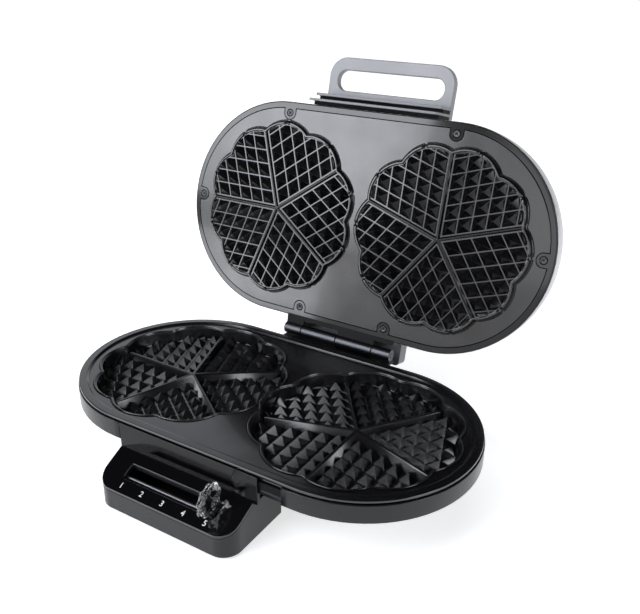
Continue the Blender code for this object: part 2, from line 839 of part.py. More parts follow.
def stop_face(z):
    """Y of the stop's rear face at a height: it lies against the hinge cover when the lid is open."""
    angle = math.radians(lid_open_degrees)
    reach = plate_level + parting + cover_foot - hinge_level() - seam
    return hinge_y + (reach - math.cos(angle) * (z - hinge_level())) / math.sin(angle)


def rear_stop(finish):
    """Block behind the base under the hinge leaf. Its sloping back face stops the lid."""
    high = plate_level - leaf_drop - seam
    low = plate_level - stop_depth
    near = shell_radius + seam
    profile = [(near, low), (stop_face(low), low), (stop_face(high), high), (near, high)]
    block = extrude_x("rear_stop", profile, -stop_half_width, stop_half_width)
    return finished(block, finish)


def hinge_cover(finish):
    """Hollow housing on the back of the dome over the hinge. It comes down behind the barrel when the lid opens."""
    level = plate_level + parting
    high = cover_foot + cover_height
    half = cover_half_width
    outer = dome_line(cover_foot, high) + [(cover_reach, cover_foot), (cover_reach, high)]
    cover = extrude_x("hinge_cover", [(y, level + z) for y, z in outer], -half, half)
    outline = rounded_box(-half, half, 0.0, cover_reach, 0.0, cover_corner)
    boolean(cover, prism("corners", outline, level, level + high + overrun), "INTERSECT")
    low, top, back = cover_foot + cover_wall, high - cover_wall, cover_reach - cover_wall
    room = [(dome_at(high) - overrun, top), (dome_at(high) - overrun, low), (back, low), (back, top)]
    inner = half - cover_wall
    cut(cover, extrude_x("room", [(y, level + z) for y, z in room], -inner, inner))
    return finished(cover, finish)


def handle_loop(finish):
    """Flat loop with a long finger slot."""
    low = plate_level + parting + handle_level
    high = low + handle_thickness
    loop = prism("handle_loop", rounded_box(-handle_half_width, handle_half_width, -handle_reach, -handle_root,
                                            handle_corner, 0.0), low, high)
    slot = prism("slot", rounded_box(-finger_half_width, finger_half_width, -finger_far, -finger_near,
                                     finger_corner, finger_corner), low - overrun, high + overrun)
    cut(loop, slot)
    for x in (-handle_screw_x, handle_screw_x):
        cut(loop, cylinder_z("hole", screw_shank_radius + seam, (x, -handle_screw_y), low - overrun, high + overrun))
    return finished(loop, finish)


def handle_screw(name, x, finish):
    high = plate_level + parting + handle_level + handle_thickness + seam
    low = plate_level + parting + mount_top - handle_screw_depth
    head = cylinder_z(name, screw_head_radius, (x, -handle_screw_y), high, high + screw_head_height)
    shank = cylinder_z("shank", screw_shank_radius, (x, -handle_screw_y), low, high + root_sink)
    return finished(join(head, shank), finish)


def handle_mount(finish):
    """Stepped bracket under the handle, seated on the dome: a core with two thin shelves, the lower one longer."""
    level = plate_level + parting
    half = handle_half_width
    core_half = half - mount_inset
    core = dome_line(mount_foot, mount_top) + [(mount_front, mount_foot), (mount_front, mount_top)]
    mount = extrude_x("handle_mount", [(-y, level + z) for y, z in core], -core_half, core_half)
    top = level + mount_top - root_sink
    upper = box("upper", (-half, -mount_front, level + upper_shelf_foot),
                (half, -mount_front + upper_shelf_thickness, top))
    lower = box("lower", (-half, -lower_shelf_far, level - lower_shelf_drop),
                (half, -lower_shelf_far + lower_shelf_thickness, top))
    join(mount, upper, lower)
    for x in (-handle_screw_x, handle_screw_x):
        cut(mount, cylinder_z("hole", screw_shank_radius + seam, (x, -handle_screw_y),
                              level + mount_top - handle_screw_depth - seam, level + mount_top + overrun))
    return finished(mount, finish)


def base_shell(finish):
    """Outer skirt with a ledge under the lower plate and a gap for the control module."""
    top = plate_level - shell_top
    ledge = plate_level - lower_plate_thickness - seam
    inner = shell_radius - shell_wall
    shell = turned_loft("base_shell", [
        at(stadium(shell_radius), plate_level - shell_bottom),
        at(stadium(shell_radius), top),
        at(stadium(inner), top),
        at(stadium(inner), ledge),
        at(stadium(inner - ledge_width), ledge),
        at(stadium(inner - ledge_width), ledge - ledge_height),
        at(stadium(inner), ledge - ledge_height),
        at(stadium(inner), plate_level - shell_bottom),
    ])
    back = shell_radius - fascia_thickness - module_gap
    low = plate_level - shell_bottom - overrun
    cut(shell, box("notch", (-fascia_left - module_gap, -shell_radius - overrun, low), (notch_right, -back, plate_level)))
    return finished(shell, finish)


def pan_top():
    return plate_level - shell_bottom + pan_seat


def pan_rings(wall, floor):
    """Rings of the pan's outside, or of its inside if wall is not zero."""
    radius = shell_radius - shell_wall - pan_gap - wall
    return [
        at(stadium(radius, pan_steps), pan_top()),
        at(stadium(radius, pan_steps), plate_level - shell_bottom),
        at(stadium(pan_bottom_radius - wall, pan_steps, pan_bottom_shift), floor),
    ]


def bottom_pan(finish):
    """Tapered tub under the base, cut away where the control module lies."""
    floor = plate_level - pan_depth
    pan = shell_of("bottom_pan", pan_rings(0.0, floor), pan_rings(pan_wall, floor + pan_wall))
    low = plate_level - module_bottom - overrun
    cut(pan, box("module", (-module_left - module_gap, -module_front, low),
                 (module_right + module_gap, -module_back + module_gap, plate_level)))
    cut(pan, box("fascia", (-fascia_left - module_gap, -module_front, low),
                 (fascia_right + module_gap, -shell_radius + fascia_thickness + module_gap, plate_level)))
    return finished(pan, finish)


def panel_level(y, drop=0.0):
    """Height of the sloping panel's face at a place, or of a face that lies drop under it."""
    back = -shell_radius
    slope = panel_fall / (module_front - shell_radius)
    return plate_level - panel_back_depth + slope * (y - back) - drop


def sloped_prism(name, outline, low, drop):
    """Prism whose top follows the panel's slope."""
    return loft(name, [at(outline, low), [(x, y, panel_level(y, drop)) for x, y in outline]])


def module_outline(inset, back):
    return rounded_box(-module_left + inset, module_right - inset, -module_front + inset, -back,
                       module_corner - inset, 0.0)


def control_housing(finish):
    """Moulded housing under the panel, which reaches back under the base. Open at the bottom."""
    low = plate_level - module_bottom
    face = shell_radius + seam
    rear_top = plate_level - module_rear_depth
    under = panel_thickness + seam
    housing = sloped_prism("control_housing", module_outline(0.0, face), low, under)
    join(housing, box("rear", (-module_left, -face - root_sink, low), (module_right, -module_back, rear_top)))
    roof = module_wall + under
    cut(housing, sloped_prism("room", module_outline(module_wall, face), low - overrun, roof))
    inner_top = rear_top - module_wall
    cut(housing, box("room", (-module_left + module_wall, -face - root_sink, low - overrun),
                     (module_right - module_wall, -module_back - module_wall, inner_top)))
    cut(housing, slot_cutter("slot"))
    cut(housing, box("wires", (-wire_gap / 2, -module_back - module_wall - overrun, inner_top - block_height),
                     (wire_gap / 2, -module_back + overrun, inner_top)))
    return finished(housing, finish)


def control_fascia(finish):
    """Upright plate over the module in the shell's gap, with a set-back wall that closes the gap beside it."""
    low = plate_level - module_rear_depth + seam
    fascia = box("control_fascia", (-fascia_left, -shell_radius, low),
                 (fascia_right, -shell_radius + fascia_thickness, plate_level - shell_top))
    front = shell_radius - shell_wall - seam
    under_ledge = plate_level - lower_plate_thickness - seam - ledge_height - seam
    wall = box("wall", (-fascia_left - recess_tuck, -front, pan_top() + seam),
               (notch_right + recess_tuck, -front + recess_wall, under_ledge))
    return finished(join(fascia, wall), finish)


def slot_cutter(name):
    half = slot_width / 2
    outline = rounded_box(-slot_left, slot_right, -slot_centre_y - half, -slot_centre_y + half, slot_corner, slot_corner)
    return prism(name, outline, panel_level(-module_front) - rod_drop - overrun, plate_level)


def control_panel(finish):
    """Gloss plate on the module, with the slot of the slide control."""
    outline = module_outline(0.0, shell_radius + seam)
    panel = loft("control_panel", [
        [(x, y, panel_level(y, panel_thickness)) for x, y in outline],
        [(x, y, panel_level(y)) for x, y in outline],
    ])
    cut(panel, slot_cutter("slot"))
    return finished(panel, finish)


def module_cover(finish):
    """Bottom plate of the control module, inside its walls."""
    low = plate_level - module_bottom
    gap = module_wall + seam
    outline = rounded_box(-module_left + gap, module_right - gap, -module_front + gap, -module_back - gap,
                          module_corner - gap, 0.0)
    return finished(prism("module_cover", outline, low, low + cover_thickness), finish)


def rod_level():
    return panel_level(-slot_centre_y) - panel_thickness - rod_drop


def guide_rod(finish):
    end = rod_holder_length + rod_holder_length / 2
    rod = cylinder_x("guide_rod", rod_radius, -slot_left - end, slot_right + end, -slot_centre_y, rod_level())
    return finished(rod, finish)


def rod_holder(name, inner, outward, finish):
    """Holder under the housing's roof, bored for one end of the rod."""
    left, right = sorted((inner + outward * rod_holder_length, inner + outward * 2 * rod_holder_length))
    half = rod_holder_width / 2
    near, far = -slot_centre_y - half, -slot_centre_y + half
    roof = module_wall + panel_thickness + seam + seam
    low = rod_level() - rod_holder_drop
    profile = [(near, low), (far, low), (far, panel_level(far, roof)), (near, panel_level(near, roof))]
    holder = extrude_x(name, profile, left, right)
    bore = cylinder_x("bore", rod_radius + rod_clearance, left - overrun, right + overrun, -slot_centre_y, rod_level())
    return finished(cut(holder, bore), finish)


def slider_carriage(finish):
    """Block that runs on the rod, with a stem up through the slot."""
    x = knob_rest_x
    half = carriage_length / 2
    width = carriage_width / 2
    z = rod_level()
    block = box("slider_carriage", (x - half, -slot_centre_y - width, z - carriage_height / 2),
                (x + half, -slot_centre_y + width, z + carriage_height / 2))
    stem = box("stem", (x - stem_length / 2, -slot_centre_y - stem_width / 2, z + carriage_height / 2 - root_sink),
               (x + stem_length / 2, -slot_centre_y + stem_width / 2, panel_level(-slot_centre_y) - knob_lift))
    bore = cylinder_x("bore", rod_radius + rod_clearance, x - carriage_length, x + carriage_length,
                      -slot_centre_y, z)
    return finished(cut(join(block, stem), bore), finish)


def slider_knob(finish):
    """Clear oval finger knob, lens shaped, standing across the slot."""
    slope = math.atan2(panel_fall, module_front - shell_radius)
    down = Vector((0.0, -math.cos(slope), -math.sin(slope)))
    away = Vector((0.0, -math.sin(slope), math.cos(slope)))
    foot = Vector((knob_rest_x, -slot_centre_y, panel_level(-slot_centre_y)))
    middle = foot + away * (knob_lift + knob_height / 2)
    sides = 24
    rings = []
    for across, size in knob_ring_shares:
        ring = []
        for i in range(sides):
            angle = math.tau * i / sides
            ripple = size * (1 + knob_ripple_share * math.cos(angle * sides / 2))
            ring.append(middle + Vector((knob_thickness * across, 0.0, 0.0))
                        + down * math.cos(angle) * knob_length / 2 * ripple
                        + away * math.sin(angle) * knob_height / 2 * ripple)
        rings.append(ring)
    knob = loft("slider_knob", rings)
    flat = foot + away * (knob_lift + root_sink)
    corners = [flat + down * knob_length * s for s in (1, -1)]
    low = [flat + down * knob_length * s - away * knob_height for s in (-1, 1)]
    cutter = extrude_x("under", [(p.y, p.z) for p in corners + low], knob_rest_x - knob_thickness,
                       knob_rest_x + knob_thickness)
    return finished(cut(knob, cutter), finish)


def slide_thermostat(finish):
    """Slide thermostat under the carriage, on the module's bottom cover."""
    low = plate_level - module_bottom + cover_thickness + seam
    middle = (slot_right - slot_left) / 2
    half = switch_length / 2
    body = box("slide_thermostat", (middle - half, -slot_centre_y - switch_width / 2 + module_wall, low),
               (middle + half, -slot_centre_y + switch_width / 2 + module_wall, low + switch_height))
    return finished(body, finish)


def terminal_block(finish):
    low = plate_level - module_bottom + cover_thickness + seam
    back = -module_back - module_wall - seam
    block = box("terminal_block", (-block_length / 2, back - block_width, low), (block_length / 2, back, low + block_height))
    return finished(block, finish)


def ring_path(centre_x, z, gap_at):
    """Points of a heating element: most of a circle, then two straight cold ends side by side."""
    half = heater_gap_degrees / 2
    count = 12
    points = []
    for i in range(count + 1):
        angle = math.radians(gap_at + half + (360 - 2 * half) * i / count)
        points.append(Vector((centre_x + heater_ring_radius * math.cos(angle), heater_ring_radius * math.sin(angle), z)))
    outward = heading(gap_at)
    return [points[0] + outward * terminal_length] + points + [points[-1] + outward * terminal_length]


def tube(name, points, radius, sides=6):
    """Round bar along a flat path."""
    rings = []
    for i, point in enumerate(points):
        before = points[max(i - 1, 0)]
        after = points[min(i + 1, len(points) - 1)]
        along = (after - before).normalized()
        across = Vector((-along.y, along.x, 0.0))
        ring = []
        for k in range(sides):
            angle = math.tau * (k + 0.5) / sides
            ring.append(point + across * radius * math.cos(angle) + Vector((0, 0, radius * math.sin(angle))))
        rings.append(ring)
    return loft(name, rings)


def heater(name, side, z, gap_at, finish):
    return finished(tube(name, ring_path(side * flower_pitch / 2, z, gap_at), heater_radius), finish)


def lower_heater_level():
    return plate_level - well_depth - lower_wall - seam - heater_radius


def upper_heater_level():
    return plate_level + parting + upper_plate_thickness + seam + heater_radius


def heat_shield(name, side, rim, way, gap_at, finish):
    """Round dish round a heating element, its rim against the plate, with a gap for the cold ends."""
    centre = (side * flower_pitch / 2, 0.0)
    floor = rim - way * shield_depth
    outer = circle(shield_radius, centre)
    inner = circle(shield_radius - shield_wall, centre)
    dish = prism(name, outer, *sorted((floor, rim)))
    cut(dish, prism("room", inner, *sorted((floor + way * shield_wall, rim + way * overrun))))
    gap = radial_bar("gap", centre[0], gap_at, heater_ring_radius / 2, shield_radius + overrun,
                     terminal_slot_width, *sorted((floor + way * shield_wall, rim + way * overrun)))
    return finished(cut(dish, gap), finish)


def plate_thermostat(name, side, finish):
    """Button that feels the well's floor, inside the heating element's ring."""
    high = plate_level - well_depth - lower_wall - seam
    centre = (side * flower_pitch / 2, 0.0)
    return finished(cylinder_z(name, thermostat_radius, centre, high - thermostat_height, high), finish)


def foot(name, x, y, high, radius, finish):
    narrow = radius * foot_taper_share
    return finished(loft(name, [at(circle(narrow, (x, y)), 0.0), at(circle(radius, (x, y)), high)]), finish)


def gland_level():
    return plate_level - gland_drop


def cord_gland(finish):
    """Bush in the back of the shell that a mains lead would pass through, with its flange outside."""
    near = shell_radius - shell_wall - gland_length / 2
    face = shell_radius + seam
    neck = gland_radius - gland_flange
    body = cylinder_y("cord_gland", neck, -gland_x, gland_level(), near, face + root_sink)
    flange = cylinder_y("flange", gland_radius, -gland_x, gland_level(), face, face + gland_flange)
    bore = cylinder_y("bore", neck - gland_wall, -gland_x, gland_level(), near - overrun, face + gland_flange + overrun)
    return finished(cut(join(body, flange), bore), finish)


def gland_hole(name):
    neck = gland_radius - gland_flange
    return cylinder_y(name, neck + seam, -gland_x, gland_level(), shell_radius - shell_wall - gland_length,
                      shell_radius + overrun)


def middle_of(pieces):
    """Middle of the pieces' common box, seen from above."""
    bpy.context.view_layer.update()
    corners = [piece.matrix_world @ vertex.co for piece in pieces for vertex in piece.data.vertices]
    return [(min(c[axis] for c in corners) + max(c[axis] for c in corners)) / 2 for axis in (0, 1)]


def place(pieces, parent, pivot):
    """Parents pieces to an empty and puts their origins on its pivot."""
    for piece in pieces:
        piece.data.transform(Matrix.Translation(-pivot))
        piece.parent = parent
        piece.data.shade_smooth()
        piece.data.set_sharp_from_angle(angle=math.radians(30))


def empty(name, location, parent=None, tilt=0.0):
    made = bpy.data.objects.new(name, None)
    bpy.context.scene.collection.objects.link(made)
    made.location = location
    made.rotation_euler = (tilt, 0.0, 0.0)
    made.parent = parent
    return made


def build():
    for old in list(bpy.data.objects):
        bpy.data.objects.remove(old)

    cast_black = ((0.012, 0.012, 0.014), 0.28)
    gloss_black = ((0.006, 0.006, 0.009), 0.08)
    dark_plastic = ((0.055, 0.057, 0.064), 0.38)
    black_plastic = ((0.02, 0.02, 0.022), 0.35)
    grey_plastic = ((0.09, 0.09, 0.10), 0.4)
    black_metal = ((0.02, 0.02, 0.022), 0.3, 0.6)
    silver = ((0.62, 0.62, 0.62), 0.3, 0.9)
    steel = ((0.5, 0.5, 0.5), 0.3, 1.0)
    aluminium = ((0.72, 0.72, 0.72), 0.4, 1.0)
    rubber = ((0.02, 0.02, 0.02), 0.8)
    clear = ((0.9, 0.9, 0.92), 0.05, 0.0, 0.4)
    ceramic = ((0.75, 0.74, 0.7), 0.6)

    shell = base_shell(dark_plastic)
    pan = bottom_pan(black_plastic)
    cut(shell, gland_hole("hole"))
    cut(pan, gland_hole("hole"))
    foot_top = plate_level - pan_depth - seam
    pad_top = plate_level - module_bottom - seam
    front_y = -module_front + front_foot_inset
    shield_rim = plate_level - well_depth - lower_wall - seam
    base_pieces = [
        finished(shell, dark_plastic),
        finished(pan, black_plastic),
        lower_baking_plate(cast_black),
        heater("lower_heater_left", -1, lower_heater_level(), 90, steel),
        heater("lower_heater_right", 1, lower_heater_level(), 90, steel),
        heat_shield("lower_shield_left", -1, shield_rim, 1, 90, aluminium),
        heat_shield("lower_shield_right", 1, shield_rim, 1, 90, aluminium),
        plate_thermostat("plate_thermostat", -1, ceramic),
        plate_thermostat("thermal_cutout", 1, ceramic),
        control_housing(dark_plastic),
        control_fascia(dark_plastic),
        control_panel(gloss_black),
        module_cover(black_plastic),
        guide_rod(steel),
        rod_holder("rod_holder_left", -slot_left, -1, black_plastic),
        rod_holder("rod_holder_right", slot_right, 1, black_plastic),
        slide_thermostat(ceramic),
        terminal_block(ceramic),
        hinge_base_leaf(black_metal),
        hinge_pin(steel),
        base_hinge_screw("hinge_screw_left", -hinge_screw_x, steel),
        base_hinge_screw("hinge_screw_right", hinge_screw_x, steel),
        rear_stop(black_plastic),
        cord_gland(rubber),
        foot("foot_front_left", -module_left + front_foot_inset, front_y, pad_top, front_foot_radius, rubber),
        foot("foot_front_right", module_right - front_foot_inset, front_y, pad_top, front_foot_radius, rubber),
        foot("foot_rear_left", -rear_foot_x, rear_foot_y, foot_top, rear_foot_radius, rubber),
        foot("foot_rear_right", rear_foot_x, rear_foot_y, foot_top, rear_foot_radius, rubber),
    ]
    shield_rim = plate_level + parting + upper_plate_thickness + seam
    lid_pieces = [
        upper_baking_plate(cast_black),
        lid_frame(black_plastic),
        lid_dome(silver),
        heater("upper_heater_left", -1, upper_heater_level(), 90, steel),
        heater("upper_heater_right", 1, upper_heater_level(), 90, steel),
        heat_shield("upper_shield_left", -1, shield_rim, -1, 90, aluminium),
        heat_shield("upper_shield_right", 1, shield_rim, -1, 90, aluminium),
        handle_loop(grey_plastic),
        handle_mount(black_plastic),
        handle_screw("handle_screw_left", -handle_screw_x, steel),
        handle_screw("handle_screw_right", handle_screw_x, steel),
        hinge_lid_leaf(black_metal),
        lid_hinge_screw("lid_screw_left", -lid_screw_x, steel),
        lid_hinge_screw("lid_screw_right", lid_screw_x, steel),
        hinge_cover(grey_plastic),
    ]
    lid_pieces += [plate_screw("plate_screw_" + end, x, y, black_plastic) for x, y, end in plate_screw_places()]
    slider_pieces = [slider_carriage(black_plastic), slider_knob(clear)]

    root = empty("row_frame", (0.0, 0.0, 0.0))
    hinge = Vector((0.0, hinge_y, hinge_level()))
    lid = empty("lid_pivot", hinge, root, -math.radians(lid_open_degrees))
    slide = Vector((knob_rest_x, -slot_centre_y, rod_level()))
    slider = empty("slider_origin", slide, root)
    place(base_pieces, root, Vector((0.0, 0.0, 0.0)))
    place(lid_pieces, lid, hinge)
    place(slider_pieces, slider, slide)
    middle = middle_of(base_pieces + lid_pieces + slider_pieces)
    root.location = (-middle[0], -middle[1], 0.0)
    shift = root.location
    print("row frame shift", [round(v / MM, 2) for v in shift])
    print("hinge axis", [round(v / MM, 2) for v in hinge + shift])
    print("slide axis", [round(v / MM, 2) for v in slide + shift])


build()
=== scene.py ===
# %% [markdown]
# # A double waffle maker, dressed for a photograph
# The machine bakes two round waffles, each of five hearts. Its lid stands open on its stop.
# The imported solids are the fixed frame. Every piece below is built finer than its solid, in the
# same place and the same size, and rides on the same moving body.

# %% Load the frame
import json
import math

import bmesh
import bpy
from mathutils import Matrix, Vector


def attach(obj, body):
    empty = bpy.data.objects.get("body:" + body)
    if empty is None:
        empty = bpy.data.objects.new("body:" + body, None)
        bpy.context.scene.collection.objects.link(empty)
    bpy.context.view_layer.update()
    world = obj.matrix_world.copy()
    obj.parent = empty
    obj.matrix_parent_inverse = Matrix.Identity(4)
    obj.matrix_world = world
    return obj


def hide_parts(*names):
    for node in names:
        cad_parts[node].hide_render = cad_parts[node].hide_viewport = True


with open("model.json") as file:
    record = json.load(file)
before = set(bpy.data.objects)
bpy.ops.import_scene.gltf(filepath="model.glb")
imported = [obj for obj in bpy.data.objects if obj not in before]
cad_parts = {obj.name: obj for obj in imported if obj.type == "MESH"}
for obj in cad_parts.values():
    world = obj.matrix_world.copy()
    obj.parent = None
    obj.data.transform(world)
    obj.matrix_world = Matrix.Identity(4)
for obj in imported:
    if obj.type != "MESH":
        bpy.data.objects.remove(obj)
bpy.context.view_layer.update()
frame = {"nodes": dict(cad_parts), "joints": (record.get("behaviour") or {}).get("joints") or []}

# %% [markdown]
# ## One place for every size
# On paper the machine is measured from the middle between its two waffles, with the lid closed.
# That is where a maker's drawing would put zero, so all the sizes here are written that way.
# One matrix moves what belongs to the base into the frame. A second one also swings the lid open
# about the hinge pin, so each lid piece can be drawn flat and level.

# %% Sizes that many pieces share
MM = 0.001
plate_level = 61 * MM
parting = 0.3 * MM
face = plate_level + parting
well_tip, well_cusp, lobe_count, heart_count = 84 * MM, 78 * MM, 10, 5
flower_pitch = 166 * MM
shell_radius = 98 * MM
end_centre = 84.5 * MM
hinge_y, hinge_z = 112 * MM, 62 * MM
lid_angle = math.radians(103.8)
seam = 0.3 * MM
quarter = math.pi / 2
stadium_steps = 40
lobe_steps = 12

hinge = next(joint for joint in frame["joints"] if joint["name"] == "lid_hinge")
pin = Vector(hinge["pos_m"])
to_frame = Matrix.Translation((0.0, pin.y - hinge_y, 0.0))
swing_open = (Matrix.Translation(pin) @ Matrix.Rotation(-lid_angle, 4, "X")
              @ Matrix.Translation((0.0, -hinge_y, -hinge_z)))
body_places = {"base": to_frame, "lid": swing_open, "slider": to_frame}
print("the drawing is moved by", [round(v / MM, 2) for v in to_frame.translation], "mm")

# %% [markdown]
# ## Solids from rings
# Nearly every piece here is moulded, cast or turned, so its shape is a row of rings.
# A loft joins ring to ring with quads, which shade evenly. The other ways are an extruded curve,
# which gives one section only, or subdivision, which would round the crisp edges of a casting.

# %% Lofts and outlines
def new_piece(name, bm):
    bmesh.ops.recalc_face_normals(bm, faces=bm.faces)
    mesh = bpy.data.meshes.new(name)
    bm.to_mesh(mesh)
    bm.free()
    piece = bpy.data.objects.new(name, mesh)
    bpy.context.scene.collection.objects.link(piece)
    return piece


def loft(name, rings, turned=False):
    """A closed solid through rings of points. A turned one joins its last ring to its first."""
    bm = bmesh.new()
    rows = [[bm.verts.new(point) for point in ring] for ring in rings]
    for low, high in zip(rows, rows[1:] + (rows[:1] if turned else [])):
        for i in range(len(low)):
            j = (i + 1) % len(low)
            bm.faces.new((low[i], low[j], high[j], high[i]))
    if not turned:
        bm.faces.new(rows[0])
        bm.faces.new(rows[-1])
    return new_piece(name, bm)


def at(outline, z):
    return [(x, y, z) for x, y in outline]


def prism(name, outline, low, high):
    return loft(name, [at(outline, low), at(outline, high)])


def box(name, low, high):
    corners = ((low[0], low[1]), (high[0], low[1]), (high[0], high[1]), (low[0], high[1]))
    return prism(name, corners, low[2], high[2])


def along_x(name, profile, left, right):
    return loft(name, [[(x, y, z) for y, z in profile] for x in (left, right)])


def circle(radius, centre=(0.0, 0.0), sides=40):
    angles = [math.tau * i / sides for i in range(sides)]
    return [(centre[0] + radius * math.cos(a), centre[1] + radius * math.sin(a)) for a in angles]


def stadium(radius, shift=0.0):
    """Two straight sides and two round ends."""
    points = []
    for side in (1, -1):
        for i in range(stadium_steps + 1):
            angle = 2 * quarter * i / stadium_steps - quarter
            x = end_centre + radius * math.cos(angle)
            points.append((side * x, side * radius * math.sin(angle) + shift))
    return points


def rounded_box(left, right, front, back, front_radius, back_radius, steps=12):
    corners = (
        (right - front_radius, front + front_radius, front_radius, -quarter),
        (right - back_radius, back - back_radius, back_radius, 0.0),
        (left + back_radius, back - back_radius, back_radius, quarter),
        (left + front_radius, front + front_radius, front_radius, 2 * quarter),
    )
    points = []
    for x, y, radius, start in corners:
        count = steps if radius > 0 else 0
        for i in range(count + 1):
            angle = start + quarter * i / max(count, 1)
            points.append((x + radius * math.cos(angle), y + radius * math.sin(angle)))
    return points


def heading(degrees):
    return Vector((math.cos(math.radians(degrees)), math.sin(math.radians(degrees)), 0.0))


def flower(tip, cusp, first_rib, centre_x):
    """Outline of ten round lobes. Notches lie at first_rib and every tenth of a turn after it."""
    half = math.pi / lobe_count
    near, side = cusp * math.cos(half), cusp * math.sin(half)
    middle = (tip * tip - cusp * cusp) / (2 * (tip - near))
    radius = tip - middle
    sweep = math.atan2(side, near - middle)
    points = []
    for lobe in range(lobe_count):
        turn = math.radians(first_rib) + half * (2 * lobe + 1)
        for i in range(lobe_steps):
            angle = sweep * (2 * i / lobe_steps - 1)
            x, y = middle + radius * math.cos(angle), radius * math.sin(angle)
            points.append((centre_x + x * math.cos(turn) - y * math.sin(turn),
                           x * math.sin(turn) + y * math.cos(turn)))
    return points


print("a flower outline has", len(flower(well_tip, well_cusp, 0, 0.0)), "points")

# %% [markdown]
# ## Cutting, joining and soft edges
# Holes and notches come from exact Booleans, as a milling cutter would make them.
# No real edge is perfectly sharp: moulds have a small radius, and paint rounds a casting.
# A bevel of some tenths of a millimetre catches the light along each edge. The weighted normals
# keep the flat faces between the bevels flat to the eye.

# %% Booleans and bevels
def boolean(target, other, operation):
    change = target.modifiers.new(operation.lower(), "BOOLEAN")
    change.operation = operation
    change.solver = "EXACT"
    change.object = other
    bpy.context.view_layer.update()
    graph = bpy.context.evaluated_depsgraph_get()
    mesh = bpy.data.meshes.new_from_object(target.evaluated_get(graph))
    target.modifiers.clear()
    old = target.data
    target.data = mesh
    bpy.data.meshes.remove(old)
    bpy.data.objects.remove(other)
    return target


def cut(target, *cutters):
    for cutter in cutters:
        boolean(target, cutter, "DIFFERENCE")
    return target


def join(target, *others):
    for other in others:
        boolean(target, other, "UNION")
    return target


def gather(name, parts):
    """Several closed shells as one object."""
    bm = bmesh.new()
    for part in parts:
        bm.from_mesh(part.data)
        bpy.data.objects.remove(part)
    mesh = bpy.data.meshes.new(name)
    bm.to_mesh(mesh)
    bm.free()
    piece = bpy.data.objects.new(name, mesh)
    bpy.context.scene.collection.objects.link(piece)
    return piece


def soften(piece, width, segments=2, sharpest=35):
    """Rounds the edges that are sharper than an angle, then evens the shading of the flats."""
    piece.data.shade_smooth()
    if width:
        bevel = piece.modifiers.new("edge", "BEVEL")
        bevel.width = width
        bevel.segments = segments
        bevel.limit_method = "ANGLE"
        bevel.angle_limit = math.radians(sharpest)
        bevel.use_clamp_overlap = True
    even = piece.modifiers.new("even", "WEIGHTED_NORMAL")
    even.keep_sharp = True
    return piece


# %% [markdown]
# ## Adding a node
# A material is a small tree of nodes. One function makes a node, sets its options and fills or
# links its sockets. Colours are written as the hex value that the eye sees, so one more function
# turns them into the linear light that the renderer counts in.

# %% Nodes and colours
def linear(hex_colour):
    channels = [int(hex_colour[i:i + 2], 16) / 255 for i in (1, 3, 5)]
    return (*[c / 12.92 if c <= 0.04045 else ((c + 0.055) / 1.055) ** 2.4 for c in channels], 1.0)


def node(tree, kind, values=None, **options):
    """Adds a node. values holds numbers, or another node's output, for each socket by name or place."""
    made = tree.nodes.new(kind)
    for option, value in options.items():
        setattr(made, option, value)
    for socket, value in (values or {}).items():
        if isinstance(value, bpy.types.NodeSocket):
            tree.links.new(value, made.inputs[socket])
        else:
            made.inputs[socket].default_value = value
    return made


def per_mm(size):
    """Scale of a texture whose detail is this many millimetres across."""
    return 1 / (size * MM)


# %% [markdown]
# ## Finishes
# Each finish starts from its material and from how its surface was made. Two noises do most of
# the work: a fine one that bends the light, as grain or grit does, and a slow one that changes
# the gloss a little, as handling does. Their scales come from real sizes in millimetres.

# %% A finish with grain and uneven gloss
def finish(name, colour, second, roughness, spread, grain_mm, depth_mm, patch_mm,
           metallic=0.0, ior=1.5, coat=0.0, stretch=(1.0, 1.0, 1.0)):
    """A surface whose colour, gloss and height change by two noises of known size."""
    made = bpy.data.materials.new(name)
    made.use_nodes = True
    tree = made.node_tree
    shader = tree.nodes["Principled BSDF"]
    place = node(tree, "ShaderNodeTexCoord").outputs["Object"]
    mapped = node(tree, "ShaderNodeMapping", {"Vector": place, "Scale": stretch}).outputs["Vector"]
    patch = node(tree, "ShaderNodeTexNoise", {"Vector": place, "Scale": per_mm(patch_mm), "Detail": 3.0})
    grain = node(tree, "ShaderNodeTexNoise", {"Vector": mapped, "Scale": per_mm(grain_mm), "Detail": 2.0})
    shade = node(tree, "ShaderNodeMix", {"Factor": patch.outputs["Fac"], 6: linear(colour), 7: linear(second)},
                 data_type="RGBA")
    gloss = node(tree, "ShaderNodeMapRange", {"Value": patch.outputs["Fac"], "From Min": 0.3, "From Max": 0.7,
                                              "To Min": roughness - spread, "To Max": roughness + spread})
    bump = node(tree, "ShaderNodeBump", {"Height": grain.outputs["Fac"], "Strength": 1.0,
                                         "Distance": depth_mm * MM})
    tree.links.new(shade.outputs[2], shader.inputs["Base Color"])
    tree.links.new(gloss.outputs["Result"], shader.inputs["Roughness"])
    tree.links.new(bump.outputs["Normal"], shader.inputs["Normal"])
    shader.inputs["Metallic"].default_value = metallic
    shader.inputs["IOR"].default_value = ior
    shader.inputs["Coat Weight"].default_value = coat
    shader.inputs["Coat Roughness"].default_value = 0.05
    return made


# %% [markdown]
# The baking plates are cast aluminium, sprayed with black non-stick resin and baked. The resin
# is smooth but slightly wavy, so its reflections are soft and a little uneven. The outer plastics
# are moulded: the skirt and housing in dark satin, the fascia and panel in polished tools.

# %% The finishes of this machine
nonstick_coating = finish("nonstick_coated_cast_aluminium", "#08080A", "#0D0D10", 0.2, 0.04, 1.4, 0.005, 30,
                          ior=1.6, coat=0.2)
blasted_coating = finish("nonstick_coated_blasted_aluminium", "#08080A", "#0D0D10", 0.25, 0.04, 1.1, 0.006, 25, ior=1.6)
